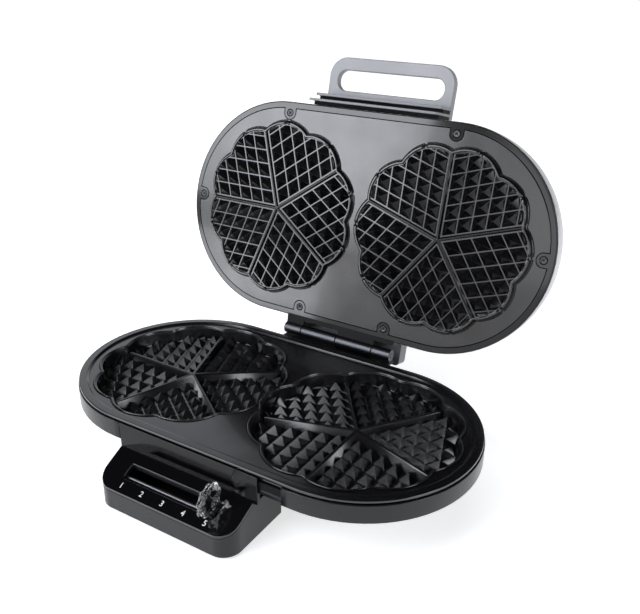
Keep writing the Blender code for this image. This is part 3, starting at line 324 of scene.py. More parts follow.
# A soft grey sheen with no sparkle: grit under the resin shows only as a faint ripple.
pyramid_coating_painted_shade = finish("lid_pyramid_coating_painted_shade", "#040405", "#070709", 0.24, 0.04, 1.1, 0.006, 25, ior=1.36)
# The lid's pyramids carry the plate's coating, made darker and weaker in reflection as painted shade: their faces stay
# near black between the bright valleys.
satin_plastic = finish("moulded_satin_dark_plastic", "#111215", "#17181B", 0.27, 0.04, 0.9, 0.006, 45, ior=1.42)
# Fine spark-eroded grain. It spreads a highlight without hiding it.
gloss_plastic = finish("polished_dark_plastic", "#09090B", "#0D0D10", 0.08, 0.02, 2.4, 0.002, 60)
fascia_plastic = finish("polished_fascia_plastic", "#040405", "#070708", 0.1, 0.02, 2.4, 0.002, 60, ior=1.33)
# Polished tool: clear reflections, with the slight pull of a thin moulding.
black_gloss = finish("polished_black_panel", "#050507", "#08080B", 0.06, 0.02, 3.0, 0.001, 60, coat=0.3)
# Near-black, with reflections as sharp as glass.
pan_plastic = finish("moulded_black_base_plastic", "#0F0F11", "#151517", 0.45, 0.06, 0.8, 0.012, 40, ior=1.4)
# Plain matt moulding that no one looks at from above.
handle_paint = finish("silver_grey_painted_plastic", "#808083", "#87878A", 0.42, 0.04, 0.7, 0.004, 50, metallic=0.22)
# Fine metallic lacquer: pale and even, with a soft broad highlight.
trim_grey = finish("moulded_mid_grey_plastic", "#6A6B70", "#727378", 0.32, 0.04, 0.9, 0.006, 45)
brushed_aluminium = finish("brushed_lacquered_aluminium", "#A4A5A8", "#A9AAAD", 0.31, 0.02, 0.9, 0.0015, 90,
                           metallic=1.0, stretch=(0.03, 1.0, 1.0))
# Long fine strokes from the belt draw the highlight out along the lid.
drawn_steel = finish("drawn_satin_steel", "#7A7B7F", "#86878A", 0.44, 0.05, 0.6, 0.006, 15, metallic=1.0)
# Drawn bar as it comes: a soft grey line, not a mirror.
black_hinge_leaf_painted_shade = finish("black_enamelled_steel_painted_shade", "#050506", "#08080A", 0.5, 0.05, 1.6, 0.003, 30, ior=1.3)
# Hinge leaves in black enamel, darkened further as painted shade: they give nearly no light, so they fall back behind
# the barrels.
hinge_barrel_painted_highlight = finish("hinge_steel_painted_highlight", "#4A4B4F", "#545559", 0.38, 0.05, 0.8, 0.003, 20, metallic=1.0)
# The barrels are the same black hinge steel, made a lighter metal as a painted highlight: a broad band of light along
# each one.
dark_screw = finish("blackened_screw_steel", "#3A3B3F", "#47484C", 0.3, 0.05, 0.5, 0.006, 6, metallic=0.8)
rolled_aluminium = finish("rolled_aluminium_sheet", "#C2C2C2", "#B4B4B4", 0.38, 0.06, 0.6, 0.006, 30,
                          metallic=1.0, stretch=(1.0, 0.05, 1.0))
oxidised_tube = finish("oxidised_heater_tube", "#55524E", "#6E665C", 0.45, 0.08, 0.8, 0.01, 12, metallic=1.0)
black_with_painted_shade = finish("moulded_black_plastic_painted_shade", "#030304", "#060607", 0.7, 0.06, 0.8, 0.01, 40, ior=1.3)
# Heat-proof black bracket moulding, with painted shade: its colour and gloss are pushed down so its deep steps, and the
# recess wall beside the fascia, stay black as shade beside the painted shelves.
soft_rubber = finish("moulded_soft_rubber", "#17171A", "#1F1F22", 0.75, 0.06, 0.6, 0.02, 20)
plain_ceramic = finish("unglazed_steatite_ceramic", "#D8D4C8", "#CBC6B8", 0.6, 0.08, 0.7, 0.015, 12)
brown_ceramic = finish("brown_glazed_ceramic", "#1D1512", "#251B16", 0.2, 0.05, 1.5, 0.004, 12)
# The switch under the slot is glazed dark, so that it doesn't show from above.
print("finishes", len([m for m in bpy.data.materials if m.users == 0]))

# %% [markdown]
# The knob is moulded in clear acrylic. Its colour comes from what stands behind it, so it is glass
# to the renderer, with acrylic's index of 1.49. A slow noise in its surface is the slight flow
# that thick clear mouldings have.

# %% Clear acrylic
clear_acrylic = bpy.data.materials.new("clear_moulded_acrylic")
clear_acrylic.use_nodes = True
tree = clear_acrylic.node_tree
acrylic = tree.nodes["Principled BSDF"]
acrylic.inputs["Base Color"].default_value = linear("#FCFCFE")
acrylic.inputs["Roughness"].default_value = 0.015
acrylic.inputs["IOR"].default_value = 1.49
acrylic.inputs["Transmission Weight"].default_value = 1.0
flow = node(tree, "ShaderNodeTexNoise", {"Vector": node(tree, "ShaderNodeTexCoord").outputs["Object"],
                                         "Scale": per_mm(7)})
ripple = node(tree, "ShaderNodeBump", {"Height": flow.outputs["Fac"], "Distance": 0.3 * MM})
tree.links.new(ripple.outputs["Normal"], acrylic.inputs["Normal"])

# %% [markdown]
# The numerals are printed in white ink. Ink is thinner where the pad lifted off, so a fine noise
# greys it slightly.

# %% White ink
white_ink = finish("pad_printed_white_ink", "#E4E5E8", "#F2F2F4", 0.45, 0.05, 0.3, 0.002, 3)

# %% [markdown]
# ## Placing a piece
# Each piece is moved into the frame, gets its finish, and rides on its body. The imported solids it stands for are
# hidden.

# %% Placing
def place(piece, body, look, *nodes):
    piece.data.transform(body_places[body])
    piece.data.materials.clear()
    piece.data.materials.append(look)
    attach(piece, body)
    if nodes:
        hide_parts(*nodes)
    print(piece.name, len(piece.data.polygons), "faces on the", body)
    return piece


# %% [markdown]
# ## Pyramids
# Each heart is a slanted grid of small pyramids, which gives the waffle its deep pockets. They
# could be one displaced sheet, but its edges would blur. Here each is its own small loft with
# rounded corners and a blunt tip, as a casting has. Those at the edge are cut along the flower.

# %% The grid of pyramids
grid_pitch = 13.1 * MM
grid_start = 2.6 * MM
valley = 1.0 * MM
sink = 0.4 * MM
turn = 360 / heart_count
corner_share = 0.045
tip_shares = ((0.09, 0.93), (0.05, 0.985), (0.02, 1.0))


def inside(outline, point):
    found = False
    for (x1, y1), (x2, y2) in zip(outline, outline[1:] + outline[:1]):
        if (y1 > point[1]) != (y2 > point[1]) and point[0] < x1 + (point[1] - y1) / (y2 - y1) * (x2 - x1):
            found = not found
    return found


def pyramid(bm, corners, floor, height, way):
    """One blunt pyramid on four plan corners. way is 1 for up and -1 for down."""
    middle = sum(corners, Vector()) / 4
    rows = []
    for size, share in ((1.0, -sink / height), (1.0, 0.0)) + tip_shares:
        row = []
        for k, corner in enumerate(corners):
            before, after = corners[k - 1], corners[(k + 1) % 4]
            start, end = (corner + (other - corner) * corner_share for other in (before, after))
            bend = (start + end + corner) / 3
            for point in (start, bend, end):
                spot = middle + (point - middle) * size
                row.append(bm.verts.new((spot.x, spot.y, floor + way * height * share)))
        rows.append(row)
    for one, two in zip(rows, rows[1:]):
        for i in range(len(one)):
            j = (i + 1) % len(one)
            bm.faces.new((one[i], one[j], two[j], two[i]))
    bm.faces.new(rows[0])
    bm.faces.new(rows[-1])


def pyramid_field(name, outline, first_rib, centre_x, floor, height, way):
    whole, edge = bmesh.new(), bmesh.new()
    inset = valley / 2 / math.sin(math.radians(turn))
    count = math.ceil(well_tip / grid_pitch)
    centre = Vector((centre_x, 0.0, 0.0))
    for heart in range(heart_count):
        along, across = heading(first_rib + turn * heart), heading(first_rib + turn * (heart + 1))
        for i in range(count):
            for j in range(count):
                low_i, low_j = (grid_start + grid_pitch * k + inset for k in (i, j))
                size = grid_pitch - 2 * inset
                corners = [centre + along * a + across * b for a, b in
                           ((low_i, low_j), (low_i + size, low_j), (low_i + size, low_j + size),
                            (low_i, low_j + size))]
                within = sum(inside(outline, c) for c in corners)
                if within:
                    pyramid(whole if within == 4 else edge, corners, floor, height, way)
    clipped = new_piece("edge", edge)
    ends = sorted((floor - way * 2 * sink, floor + way * 2 * height))
    boolean(clipped, prism("fence", outline, *ends), "INTERSECT")
    return gather(name, [new_piece("whole", whole), clipped])


# %% [markdown]
# ## Ribs between the hearts
# Five ridges run from the middle to the wall, so the baked waffle breaks into hearts there.
# They are one star-shaped casting, so a star outline is lofted upwards and rounded at the top.

# %% The star of ribs
def star(name, first_rib, centre_x, floor, widths, length, way):
    """Star of ridges through (width, height) pairs from its foot to its top."""
    rings = []
    for width, height in widths:
        ring = []
        for index in range(heart_count):
            along = heading(first_rib + turn * index)
            across = Vector((-along.y, along.x, 0.0)) * width / 2
            between = heading(first_rib + turn * (index + 0.5))
            crotch = between * width / 2 / math.sin(math.radians(turn / 2))
            ring += [along * length - across, along * length + across, crotch]
        rings.append([(centre_x + p.x, p.y, floor + way * height) for p in ring])
    return loft(name, rings)


def rounded_ridge(foot, top, height):
    """(width, height) pairs of a ridge with a rounded crest."""
    crest = 0.3 * top
    slope = (foot - top) / height
    return [(foot + slope * sink, -sink), (foot, 0.0), (top + slope * 2 * crest, height - 2 * crest),
            (top + slope * crest * 0.6, height - crest * 0.8), (top * 0.86, height - crest * 0.25),
            (top * 0.5, height)]


# %% [markdown]
# ## Lower baking plate
# The plate is one casting: a raised rim, a flat land, two deep wells with a bead round each, and
# the hearts inside. The wells are lofts of the flower outline along one smooth profile, so bead,
# wall and floor run into each other with small fillets. The land is cut out for them.

# %% Lower baking plate
field = plate_level - 2 * MM
rim_radius = shell_radius - 0.8 * MM
flowers = ((-1, 180), (1, 270))
well_profile = (
    (3.6, -3.2), (2.75, -3.15), (2.6, -3.0), (2.48, -1.95), (2.38, -1.4), (2.15, -1.05), (1.85, -0.92), (1.55, -0.92), (1.25, -1.05),
    (1.02, -1.4), (0.92, -1.85), (0.8, -2.0), (0.2, -2.02), (0.0, -2.2), (-0.12, -2.6), (-0.6, -5.0),
    (-1.3, -8.5), (-2.1, -12.4), (-2.3, -13.3), (-2.75, -13.8), (-3.4, -14.0),
)
rim_profile = (
    (-4.0, -5.0), (-4.0, -2.0), (-0.15, -2.0), (0.0, -1.85), (0.0, -0.7), (-0.14, -0.35), (-0.4, -0.1),
    (-0.8, 0.0), (-6.1, 0.0), (-6.5, -0.12), (-6.8, -0.4), (-8.1, -1.75), (-8.5, -1.95), (-9.2, -2.0),
)
land = loft("land", [at(stadium(rim_radius + d * MM), plate_level + z * MM) for d, z in rim_profile])
well_parts, grid_parts = [], []
for side, first_rib in flowers:
    centre = side * flower_pitch / 2
    hole = 3.15 * MM
    cut(land, prism("hole", flower(well_tip + hole, well_cusp + hole, first_rib, centre),
                    plate_level - 10 * MM, plate_level + 10 * MM))
    inner = [at(flower(well_tip + d * MM, well_cusp + d * MM, first_rib, centre), plate_level + z * MM)
             for d, z in well_profile]
    wall = 2.8 * MM
    floor = plate_level - 14 * MM
    outer = [at(flower(well_tip + wall - s * MM, well_cusp + wall - s * MM, first_rib, centre), plate_level + z * MM)
             for s, z in ((2.6, -16.8), (0.6, -6.5), (-0.8, -3.8))]
    well_parts.append(loft("well", outer + inner))
    back = 3.2 * MM
    outline = flower(well_tip - back, well_cusp - back, first_rib, centre)
    grid_parts.append(pyramid_field("field", outline, first_rib, centre, floor, 6 * MM, 1))
    grid_parts.append(star("ribs", first_rib, centre, floor, rounded_ridge(7.4 * MM, 2.2 * MM, 7.2 * MM),
                           well_cusp - 2.5 * MM, 1))
lower_plate = soften(gather("lower_plate_casting", [land] + well_parts), 0.0)
place(lower_plate, "base", nonstick_coating, "lower_baking_plate")
lower_grids = soften(gather("lower_heart_grids", grid_parts), 0.0)
place(lower_grids, "base", blasted_coating, "lower_baking_plate")

# %% [markdown]
# ## Upper baking plate
# The lid's plate is a thin casting whose two flowers stand out and reach into the wells when the
# lid closes. Each flower has a narrow bead with steam notches, then a land, then the pyramids.
# Round notches in the plate's edge leave room for the frame's screw tabs.

# %% Places of the six plate screws
plate_radius = shell_radius - 4.2 * MM
tab_inset = 4.2 * MM
tab_edge = plate_radius - tab_inset
tab_radius = 5.8 * MM
screw_places = {
    "front_left": (-83 * MM, -tab_edge), "front_right": (83 * MM, -tab_edge),
    "rear_left": (-45 * MM, tab_edge), "rear_right": (45 * MM, tab_edge),
    "left_end": (-end_centre - tab_edge, 0.0), "right_end": (end_centre + tab_edge, 0.0),
}


def outward_of(x, y):
    if abs(x) > end_centre and y == 0:
        return Vector((math.copysign(1, x), 0.0, 0.0))
    return Vector((0.0, math.copysign(1, y), 0.0))


def tab_channel(name, x, y, half, low, high):
    """Straight sides of a tab, from its round end to the edge of the plate."""
    outward = outward_of(x, y)
    across = Vector((-outward.y, outward.x, 0.0)) * half
    start = Vector((x, y, 0.0))
    end = start + outward * (tab_inset + 2 * MM)
    return prism(name, [(c.x, c.y) for c in (start - across, end - across, end + across, start + across)], low, high)


# %% Upper baking plate
slab = prism("slab", stadium(plate_radius - 0.3 * MM), face, face + 2.8 * MM)
for x, y in screw_places.values():
    cut(slab, prism("tab", circle(tab_radius + 2 * seam, (x, y)), face - MM, face + 4 * MM),
        tab_channel("mouth", x, y, tab_radius + 2 * seam, face - MM, face + 4 * MM))
bevelled = slab.modifiers.new("edge", "BEVEL")
bevelled.width, bevelled.segments, bevelled.limit_method = 0.35 * MM, 2, "ANGLE"
bpy.context.view_layer.update()
slab.data = bpy.data.meshes.new_from_object(slab.evaluated_get(bpy.context.evaluated_depsgraph_get()))
slab.modifiers.clear()
upper_tip, upper_cusp = well_tip - 3.6 * MM, well_cusp - 3.6 * MM
flower_profile = (
    (1.4, 1.0), (1.9, 0.05), (1.6, -0.1), (1.36, -0.45), (0.3, -3.4), (0.12, -3.8), (-0.2, -4.0), (-1.3, -4.0),
    (-1.45, -3.85), (-1.5, -3.5), (-1.55, -2.5), (-1.75, -2.26), (-2.2, -2.2),
)
flower_parts, upper_grid_parts = [], []
groove_near, groove_far = 1.85 * MM, 2.85 * MM
for side, first_rib in flowers:
    centre = side * flower_pitch / 2
    drum = loft("drum", [at(flower(upper_tip + d * MM, upper_cusp + d * MM, first_rib, centre), face + z * MM)
                         for d, z in flower_profile])
    land_z = face - 2.2 * MM
    notches, bridges = [], []
    for lobe in range(lobe_count):
        along = heading(first_rib + 360 / lobe_count * (lobe + 0.5))
        across = Vector((-along.y, along.x, 0.0)) * 1.1 * MM
        middle = Vector((centre, 0.0, 0.0))
        start, end = upper_tip - 1.9 * MM, upper_tip + 3.4 * MM
        corners = [middle + along * start - across, middle + along * end - across,
                   middle + along * end + across, middle + along * start + across]
        notches.append(prism("notch", [(c.x, c.y) for c in corners], face - 6 * MM, land_z - 0.05 * MM))
        bridges.append(prism("bridge", [(c.x, c.y) for c in corners], face - 6 * MM, face + 3 * MM))
    cut(drum, gather("notches", notches))
    groove = loft("groove", [at(flower(upper_tip + d, upper_cusp + d, first_rib, centre), face + z)
                             for d, z in ((groove_near, -MM), (groove_far, -MM), (groove_far, 1.6 * MM),
                                          (groove_near, 1.6 * MM))], turned=True)
    cut(slab, cut(groove, gather("bridges", bridges)))
    flower_parts.append(drum)
    back = 2.7 * MM
    outline = flower(upper_tip - back, upper_cusp - back, first_rib, centre)
    upper_grid_parts.append(pyramid_field("field", outline, first_rib, centre, land_z, 4.5 * MM, -1))
    upper_grid_parts.append(star("ribs", first_rib, centre, land_z, rounded_ridge(3.4 * MM, 1.4 * MM, 1.9 * MM),
                                 upper_cusp - 1.2 * MM, -1))
upper_plate = soften(gather("upper_plate_casting", [slab] + flower_parts), 0.0)
place(upper_plate, "lid", nonstick_coating, "upper_baking_plate")
upper_grids = soften(gather("upper_heart_grids", upper_grid_parts), 0.0)
# The pyramids' darker copy of the coating is painted shade.
place(upper_grids, "lid", pyramid_coating_painted_shade, "upper_baking_plate")

# %% [markdown]
# ## Lid frame, dome and screws
# A thin plastic frame holds the plate to the dome. The dome is one pressed and brushed sheet.
# The screws have turned heads with a cross recess, cut here by two crossed wedges.

# %% Lid frame
dome_radius = 99.6 * MM
dome_foot = 1.1 * MM
tongue = dome_radius - 0.7 * MM - seam
frame_top = face + 3.2 * MM
ring = loft("lid_frame_ring", [at(stadium(r), z) for r, z in (
    (plate_radius + seam, face), (shell_radius - 0.1 * MM, face), (shell_radius - 0.1 * MM, face + dome_foot - seam),
    (tongue, face + dome_foot - seam), (tongue, frame_top + 1.6 * MM), (plate_radius + seam, frame_top + 1.6 * MM))],
    turned=True)
for x, y in screw_places.values():
    tab = prism("tab", circle(tab_radius, (x, y)), face, frame_top)
    bridge = tab_channel("bridge", x, y, tab_radius, face, frame_top)
    outside = loft("outside", [at(stadium(r), z) for r, z in (
        (tongue - MM, face - 2 * MM), (dome_radius + 4 * MM, face - 2 * MM),
        (dome_radius + 4 * MM, frame_top + 2 * MM), (tongue - MM, frame_top + 2 * MM))], turned=True)
    join(ring, join(tab, cut(bridge, outside)))
    cut(ring, loft("head", [at(circle(r * MM, (x, y)), face + z * MM)
                            for r, z in ((3.6, -0.3), (3.6, 0.0), (2.0, 1.8), (2.0, 6.0))]))
place(soften(ring, 0.3 * MM), "lid", gloss_plastic, "lid_frame")

# %% Dome
height_shares = (0.0, 0.2, 0.42, 0.62, 0.78, 0.89, 0.965, 1.0)
radius_shares = (1.0, 1.0, 0.992, 0.972, 0.94, 0.895, 0.82, 0.66)
dome_rise = 43 * MM - dome_foot
dome_base = face + dome_foot
outer = [at(stadium(dome_radius * r), dome_base + dome_rise * h) for h, r in zip(height_shares, radius_shares)]
inner = [at(stadium(dome_radius * r - 0.7 * MM), dome_base + (dome_rise - 0.7 * MM) * h)
         for h, r in zip(height_shares, radius_shares)]
dome = soften(loft("lid_dome_sheet", outer[::-1] + inner), 0.0)
place(dome, "lid", brushed_aluminium, "lid_dome")


# %% A screw with a cross recess
def screw(name, head, shank, recess=1.1 * MM):
    """Turned screw along Z with its head's top at zero. head and shank are (radius, height) pairs in millimetres."""
    made = loft(name, [at(circle(r * MM, sides=32), z * MM) for r, z in head + shank])
    width, reach = 0.45 * MM, 1.9 * MM
    for angle in (45, 135):
        bar = loft("bar", [[(x * s, y * s, z) for x, y in ((-reach, -width), (reach, -width), (reach, width),
                                                          (-reach, width))]
                           for s, z in ((0.5, -recess), (1.05, 0.2 * MM))])
        bar.data.transform(Matrix.Rotation(math.radians(angle), 4, "Z"))
        cut(made, bar)
    return made


countersunk = ((2.5, 0.0), (2.8, -0.12), (2.9, -0.3), (1.7, -1.5))
pan_head = ((1.4, 0.0), (2.4, -0.1), (3.0, -0.4), (3.28, -0.9), (3.3, -1.5), (1.7, -1.5))
for ending, (x, y) in screw_places.items():
    made = screw("screw_" + ending, countersunk, ((1.7, -9.0),))
    made.data.transform(Matrix.Translation((x, y, face)) @ Matrix.Rotation(math.pi, 4, "X"))
    place(soften(made, 0.0), "lid", dark_screw, "plate_screw_" + ending)

# %% [markdown]
# ## Handle
# The handle is a flat painted loop on a stepped bracket. The bracket's two shelves hold it away
# from the hot dome. Both are mouldings with generous edge radii, so they get wide bevels.

# %% Handle loop
handle_low = face + 29.4 * MM
handle_root = dome_radius + 0.8 * MM
finger_near, finger_far = handle_root + 15.6 * MM, handle_root + 34.1 * MM
handle_reach = finger_far + 11.5 * MM
loop = prism("handle_loop_moulding", rounded_box(-62.8 * MM, 62.8 * MM, -handle_reach, -handle_root, 17 * MM, 0.0),
             handle_low, handle_low + 7 * MM)
cut(loop, prism("fingers", rounded_box(-53.5 * MM, 53.5 * MM, -finger_far, -finger_near, 8.6 * MM, 8.6 * MM),
                handle_low - MM, handle_low + 9 * MM))
handle_screw_y = handle_root + 6.6 * MM
for x in (-40 * MM, 40 * MM):
    cut(loop, prism("hole", circle(2 * MM, (x, -handle_screw_y)), handle_low - MM, handle_low + 9 * MM))
place(soften(loop, 1.0 * MM, 4), "lid", handle_paint, "handle_loop")


# %% The dome's side, for what is seated on it
def dome_at(height):
    rise = 43 * MM - dome_foot
    levels = [dome_foot + rise * share for share in height_shares]
    radii = [dome_radius * share for share in radius_shares]
    for low, high, wide, narrow in zip(levels, levels[1:], radii, radii[1:]):
        if height <= high:
            return wide + (narrow - wide) * max(height - low, 0.0) / (high - low)
    return radii[-1]


def dome_line(low, high):
    rise = 43 * MM - dome_foot
    between = [dome_foot + rise * share for share in height_shares]
    heights = [high] + [h for h in reversed(between) if low < h < high] + [low]
    return [(dome_at(h) + seam, h) for h in heights]


# %% Handle mount
mount_front = dome_radius + 11.3 * MM
mount_top, mount_foot = 29.1 * MM, 17 * MM
shelf_far = mount_front - 5.7 * MM
core = dome_line(mount_foot, mount_top) + [(mount_front - 2.2 * MM, mount_foot), (mount_front - 2.2 * MM, mount_top)]
mount = along_x("handle_bracket", [(-y, face + z) for y, z in core], -61.9 * MM, 61.9 * MM)
join(mount, box("web", (-61.9 * MM, -mount_front + MM, face + 15 * MM), (61.9 * MM, -shelf_far, face + 28 * MM)),
     box("web", (-61.9 * MM, -shelf_far + MM, face + 6 * MM), (61.9 * MM, -dome_radius - seam, face + 17 * MM)))
shelves = gather("handle_bracket_shelves", [
    box("upper", (-62.8 * MM, -mount_front, face + 9 * MM), (62.8 * MM, -mount_front + 2.5 * MM, face + 28.7 * MM)),
    box("lower", (-62.8 * MM, -shelf_far, face - 2.6 * MM), (62.8 * MM, -shelf_far + 2.2 * MM, face + 28.7 * MM))])
for x in (-40 * MM, 40 * MM):
    cut(mount, prism("hole", circle(2 * MM, (x, -handle_screw_y)), face + 21.8 * MM, face + 31 * MM))
# The bracket's steps are near black as painted shade of the deep slots between the shelves.
place(soften(mount, 0.4 * MM, 2), "lid", black_with_painted_shade, "handle_mount")
place(soften(shelves, 0.4 * MM, 3), "lid", trim_grey, "handle_mount")
for side, name in ((-1, "left"), (1, "right")):
    made = screw("handle_screw_head_" + name, pan_head, ((1.7, -16.0),))
    made.data.transform(Matrix.Translation((side * 40 * MM, -handle_screw_y, handle_low + 8.8 * MM)))
    place(soften(made, 0.0), "lid", dark_screw, "handle_screw_" + name)

# %% [markdown]
# ## Hinge
# Two steel leaves are rolled into four barrels on one pin. The hinge is enamelled black; the leaves get a darker copy
# as painted shade and the barrels a lighter one as a painted highlight, so each is a piece of its own here. A grey
# plastic cover hides the upper leaf. The stop under it takes the open lid's weight.

# %% Hinge leaves
hinge_half = 57 * MM
joints_x = (-57 * MM, -38 * MM, 0.0, 38 * MM, 57 * MM)
barrel_rings = ((0.0, 5.0), (0.15, 5.3), (0.5, 5.5))


def knuckle(index):
    """A barrel with rounded rims."""
    left, right = joints_x[index] + 0.25 * MM, joints_x[index + 1] - 0.25 * MM
    ends = [(left + d * MM, r) for d, r in barrel_rings] + [(right - d * MM, r) for d, r in reversed(barrel_rings)]
    return loft("knuckle", [[(x, y, z) for y, z in circle(r * MM, (hinge_y, hinge_z), 56)] for x, r in ends])


def bore(radius, half):
    return loft("bore", [[(x, y, z) for y, z in circle(radius, (hinge_y, hinge_z))] for x in (-half, half)])


leaf_near = dome_radius + seam
barrel_core = 5.0 * MM
lid_leaf = box("lid_leaf", (-hinge_half, leaf_near, face), (hinge_half, leaf_near + 2.5 * MM, face + 13.6 * MM))
for index in (0, 2):
    tongue_plate = box("tongue", (joints_x[index] + 0.25 * MM, leaf_near + 2.1 * MM, face),
                       (joints_x[index + 1] - 0.25 * MM, hinge_y, face + 2.5 * MM))
    join(lid_leaf, tongue_plate)
join(lid_leaf, box("lip", (-hinge_half, shell_radius + 0.2 * MM, face), (hinge_half, leaf_near + 0.5 * MM, face + 0.7 * MM)))
cut(lid_leaf, bore(barrel_core, hinge_half + 2 * MM))
# The leaf's dark finish is painted shade, and the barrels' lighter one below is a painted highlight.
place(soften(lid_leaf, 0.3 * MM, 2), "lid", black_hinge_leaf_painted_shade, "hinge_lid_leaf")
lid_barrels = cut(gather("hinge_lid_barrels", [knuckle(0), knuckle(2)]), bore(2.5 * MM, hinge_half + 2 * MM))
place(soften(lid_barrels, 0.2 * MM, 2), "lid", hinge_barrel_painted_highlight, "hinge_lid_leaf")

leaf_low = plate_level - 8 * MM
base_leaf = box("base_leaf", (-hinge_half, shell_radius + seam, leaf_low), (hinge_half, hinge_y + 4 * MM, leaf_low + 2.5 * MM))
for index in (1, 3):
    web = box("web", (joints_x[index] + 0.25 * MM, hinge_y - 4 * MM, leaf_low + sink),
              (joints_x[index + 1] - 0.25 * MM, hinge_y + 4 * MM, hinge_z))
    join(base_leaf, web)
cut(base_leaf, bore(barrel_core, hinge_half + 2 * MM))
# The leaf's dark finish is painted shade, and the barrels' lighter one below is a painted highlight.
place(soften(base_leaf, 0.3 * MM, 2), "base", black_hinge_leaf_painted_shade, "hinge_base_leaf")
base_barrels = cut(gather("hinge_base_barrels", [knuckle(1), knuckle(3)]), bore(2.5 * MM, hinge_half + 2 * MM))
place(soften(base_barrels, 0.2 * MM, 2), "base", hinge_barrel_painted_highlight, "hinge_base_leaf")

# %% Hinge pin and its screws
pin_rod = loft("pin_rod", [[(x, y, z) for y, z in circle(r * MM, (hinge_y, hinge_z))] for x, r in (
    (-hinge_half, 1.6), (-hinge_half + 0.5 * MM, 2.2), (hinge_half - 0.5 * MM, 2.2), (hinge_half, 1.6))])
place(soften(pin_rod, 0.0), "base", dark_screw, "hinge_pin")
for side, name in ((-1, "left"), (1, "right")):
    made = screw("leaf_screw_" + name, pan_head, ((1.7, -4.0),))
    made.data.transform(Matrix.Translation((side * 48 * MM, shell_radius + 3.9 * MM, leaf_low + 4.3 * MM)))
    place(soften(made, 0.0), "base", dark_screw, "hinge_screw_" + name)
    made = screw("lid_leaf_screw_" + name, pan_head, ((1.7, -4.2),))
    spot = (side * 28 * MM, leaf_near + 4.3 * MM, face + 10 * MM)
    made.data.transform(Matrix.Translation(spot) @ Matrix.Rotation(-quarter, 4, "X"))
    place(soften(made, 0.0), "lid", dark_screw, "lid_screw_" + name)

# %% Hinge cover and stop
cover_low, cover_high = 15.3 * MM, 29.3 * MM
cover_back = hinge_y + 12.5 * MM
cover = along_x("hinge_cover_moulding", [(y, face + z) for y, z in dome_line(cover_low, cover_high)
                                         + [(cover_back, cover_low), (cover_back, cover_high)]], -59 * MM, 59 * MM)
boolean(cover, prism("corners", rounded_box(-59 * MM, 59 * MM, 0.0, cover_back, 0.0, 4 * MM),
                     face, face + 40 * MM), "INTERSECT")
place(soften(cover, 0.8 * MM, 3), "lid", trim_grey, "hinge_cover")


def stop_face(z):
    reach = face + cover_low - hinge_z - seam
    return hinge_y + (reach - math.cos(lid_angle) * (z - hinge_z)) / math.sin(lid_angle)


stop_low, stop_high = plate_level - 19 * MM, leaf_low - seam
stop = along_x("rear_stop_block", [(shell_radius + seam, stop_low), (stop_face(stop_low), stop_low),
                                   (stop_face(stop_high), stop_high), (shell_radius + seam, stop_high)],
               -50 * MM, 50 * MM)
place(soften(stop, 0.6 * MM, 2), "base", pan_plastic, "rear_stop")

# %% [markdown]
# ## Base
# The skirt is a deep moulded band whose top edge is rounded. It opens at the front for the
# control module. Under it hangs a plain black pan that narrows to its feet.

# %% Skirt
shell_top, shell_foot = plate_level - 3.5 * MM, plate_level - 19 * MM
ledge = plate_level - 5.3 * MM
skirt_in = shell_radius - 2.2 * MM
skirt = loft("skirt_moulding", [at(stadium(r), z) for r, z in (
    (shell_radius - 0.5 * MM, shell_foot), (shell_radius, shell_foot + 0.5 * MM), (shell_radius, shell_top - 1.0 * MM),
    (shell_radius - 0.12 * MM, shell_top - 0.5 * MM), (shell_radius - 0.45 * MM, shell_top - 0.14 * MM),
    (shell_radius - MM, shell_top), (skirt_in, shell_top), (skirt_in, ledge), (skirt_in - 5.6 * MM, ledge),
    (skirt_in - 5.6 * MM, ledge - 2.6 * MM), (skirt_in, ledge - 2.6 * MM), (skirt_in, shell_foot))], turned=True)
fascia_left, fascia_right, recess_right = 78 * MM, 56 * MM, 76.5 * MM
notch_back = shell_radius - 3.9 * MM
cut(skirt, box("notch", (-fascia_left - 0.4 * MM, -shell_radius - 2 * MM, shell_foot - 2 * MM),
               (recess_right, -notch_back, plate_level)))


def along_y(name, profile, centre_x, z, sides=40):
    """A turned solid about a line along Y, through (radius, y) pairs."""
    return loft(name, [[(x, y, h) for x, h in circle(r, (centre_x, z), sides)] for r, y in profile])


gland_x, gland_z = -78.1 * MM, plate_level - 13.2 * MM
cut(skirt, along_y("hole", ((4.7 * MM, shell_radius - 14 * MM), (4.7 * MM, shell_radius + 2 * MM)), gland_x, gland_z))
place(soften(skirt, 0.0), "base", satin_plastic, "base_shell")

# %% Pan and gland
pan_outer = shell_radius - 2.7 * MM
pan_floor = plate_level - 48 * MM
pan_narrow, pan_shift = 62 * MM, 32 * MM
pan_rows = []
for wall, floor_z in ((0.0, pan_floor), (2 * MM, pan_floor + 2 * MM)):
    pan_rows.append([at(stadium(pan_outer - wall), shell_foot + 4 * MM), at(stadium(pan_outer - wall), shell_foot),
                     at(stadium(pan_narrow - wall + 1.5 * MM, pan_shift), floor_z + 1.3 * MM),
                     at(stadium(pan_narrow - wall - 1.5 * MM, pan_shift), floor_z)])
pan = loft("pan_moulding", pan_rows[0][::-1] + pan_rows[1])
module_left, module_right = 77.8 * MM, 53 * MM
module_front, module_back = shell_radius + 32 * MM, shell_radius - 35.2 * MM
module_low = plate_level - 59 * MM
cut(pan, box("module", (-module_left - 0.4 * MM, -module_front, module_low - 2 * MM),
             (module_right + 0.4 * MM, -module_back + 0.4 * MM, plate_level)),
    box("fascia", (-fascia_left - 0.4 * MM, -module_front, module_low - 2 * MM),
        (fascia_right + 0.4 * MM, -notch_back, plate_level)),
    along_y("hole", ((4.7 * MM, shell_radius - 14 * MM), (4.7 * MM, shell_radius + 2 * MM)), gland_x, gland_z))
place(soften(pan, 0.0), "base", pan_plastic, "bottom_pan")
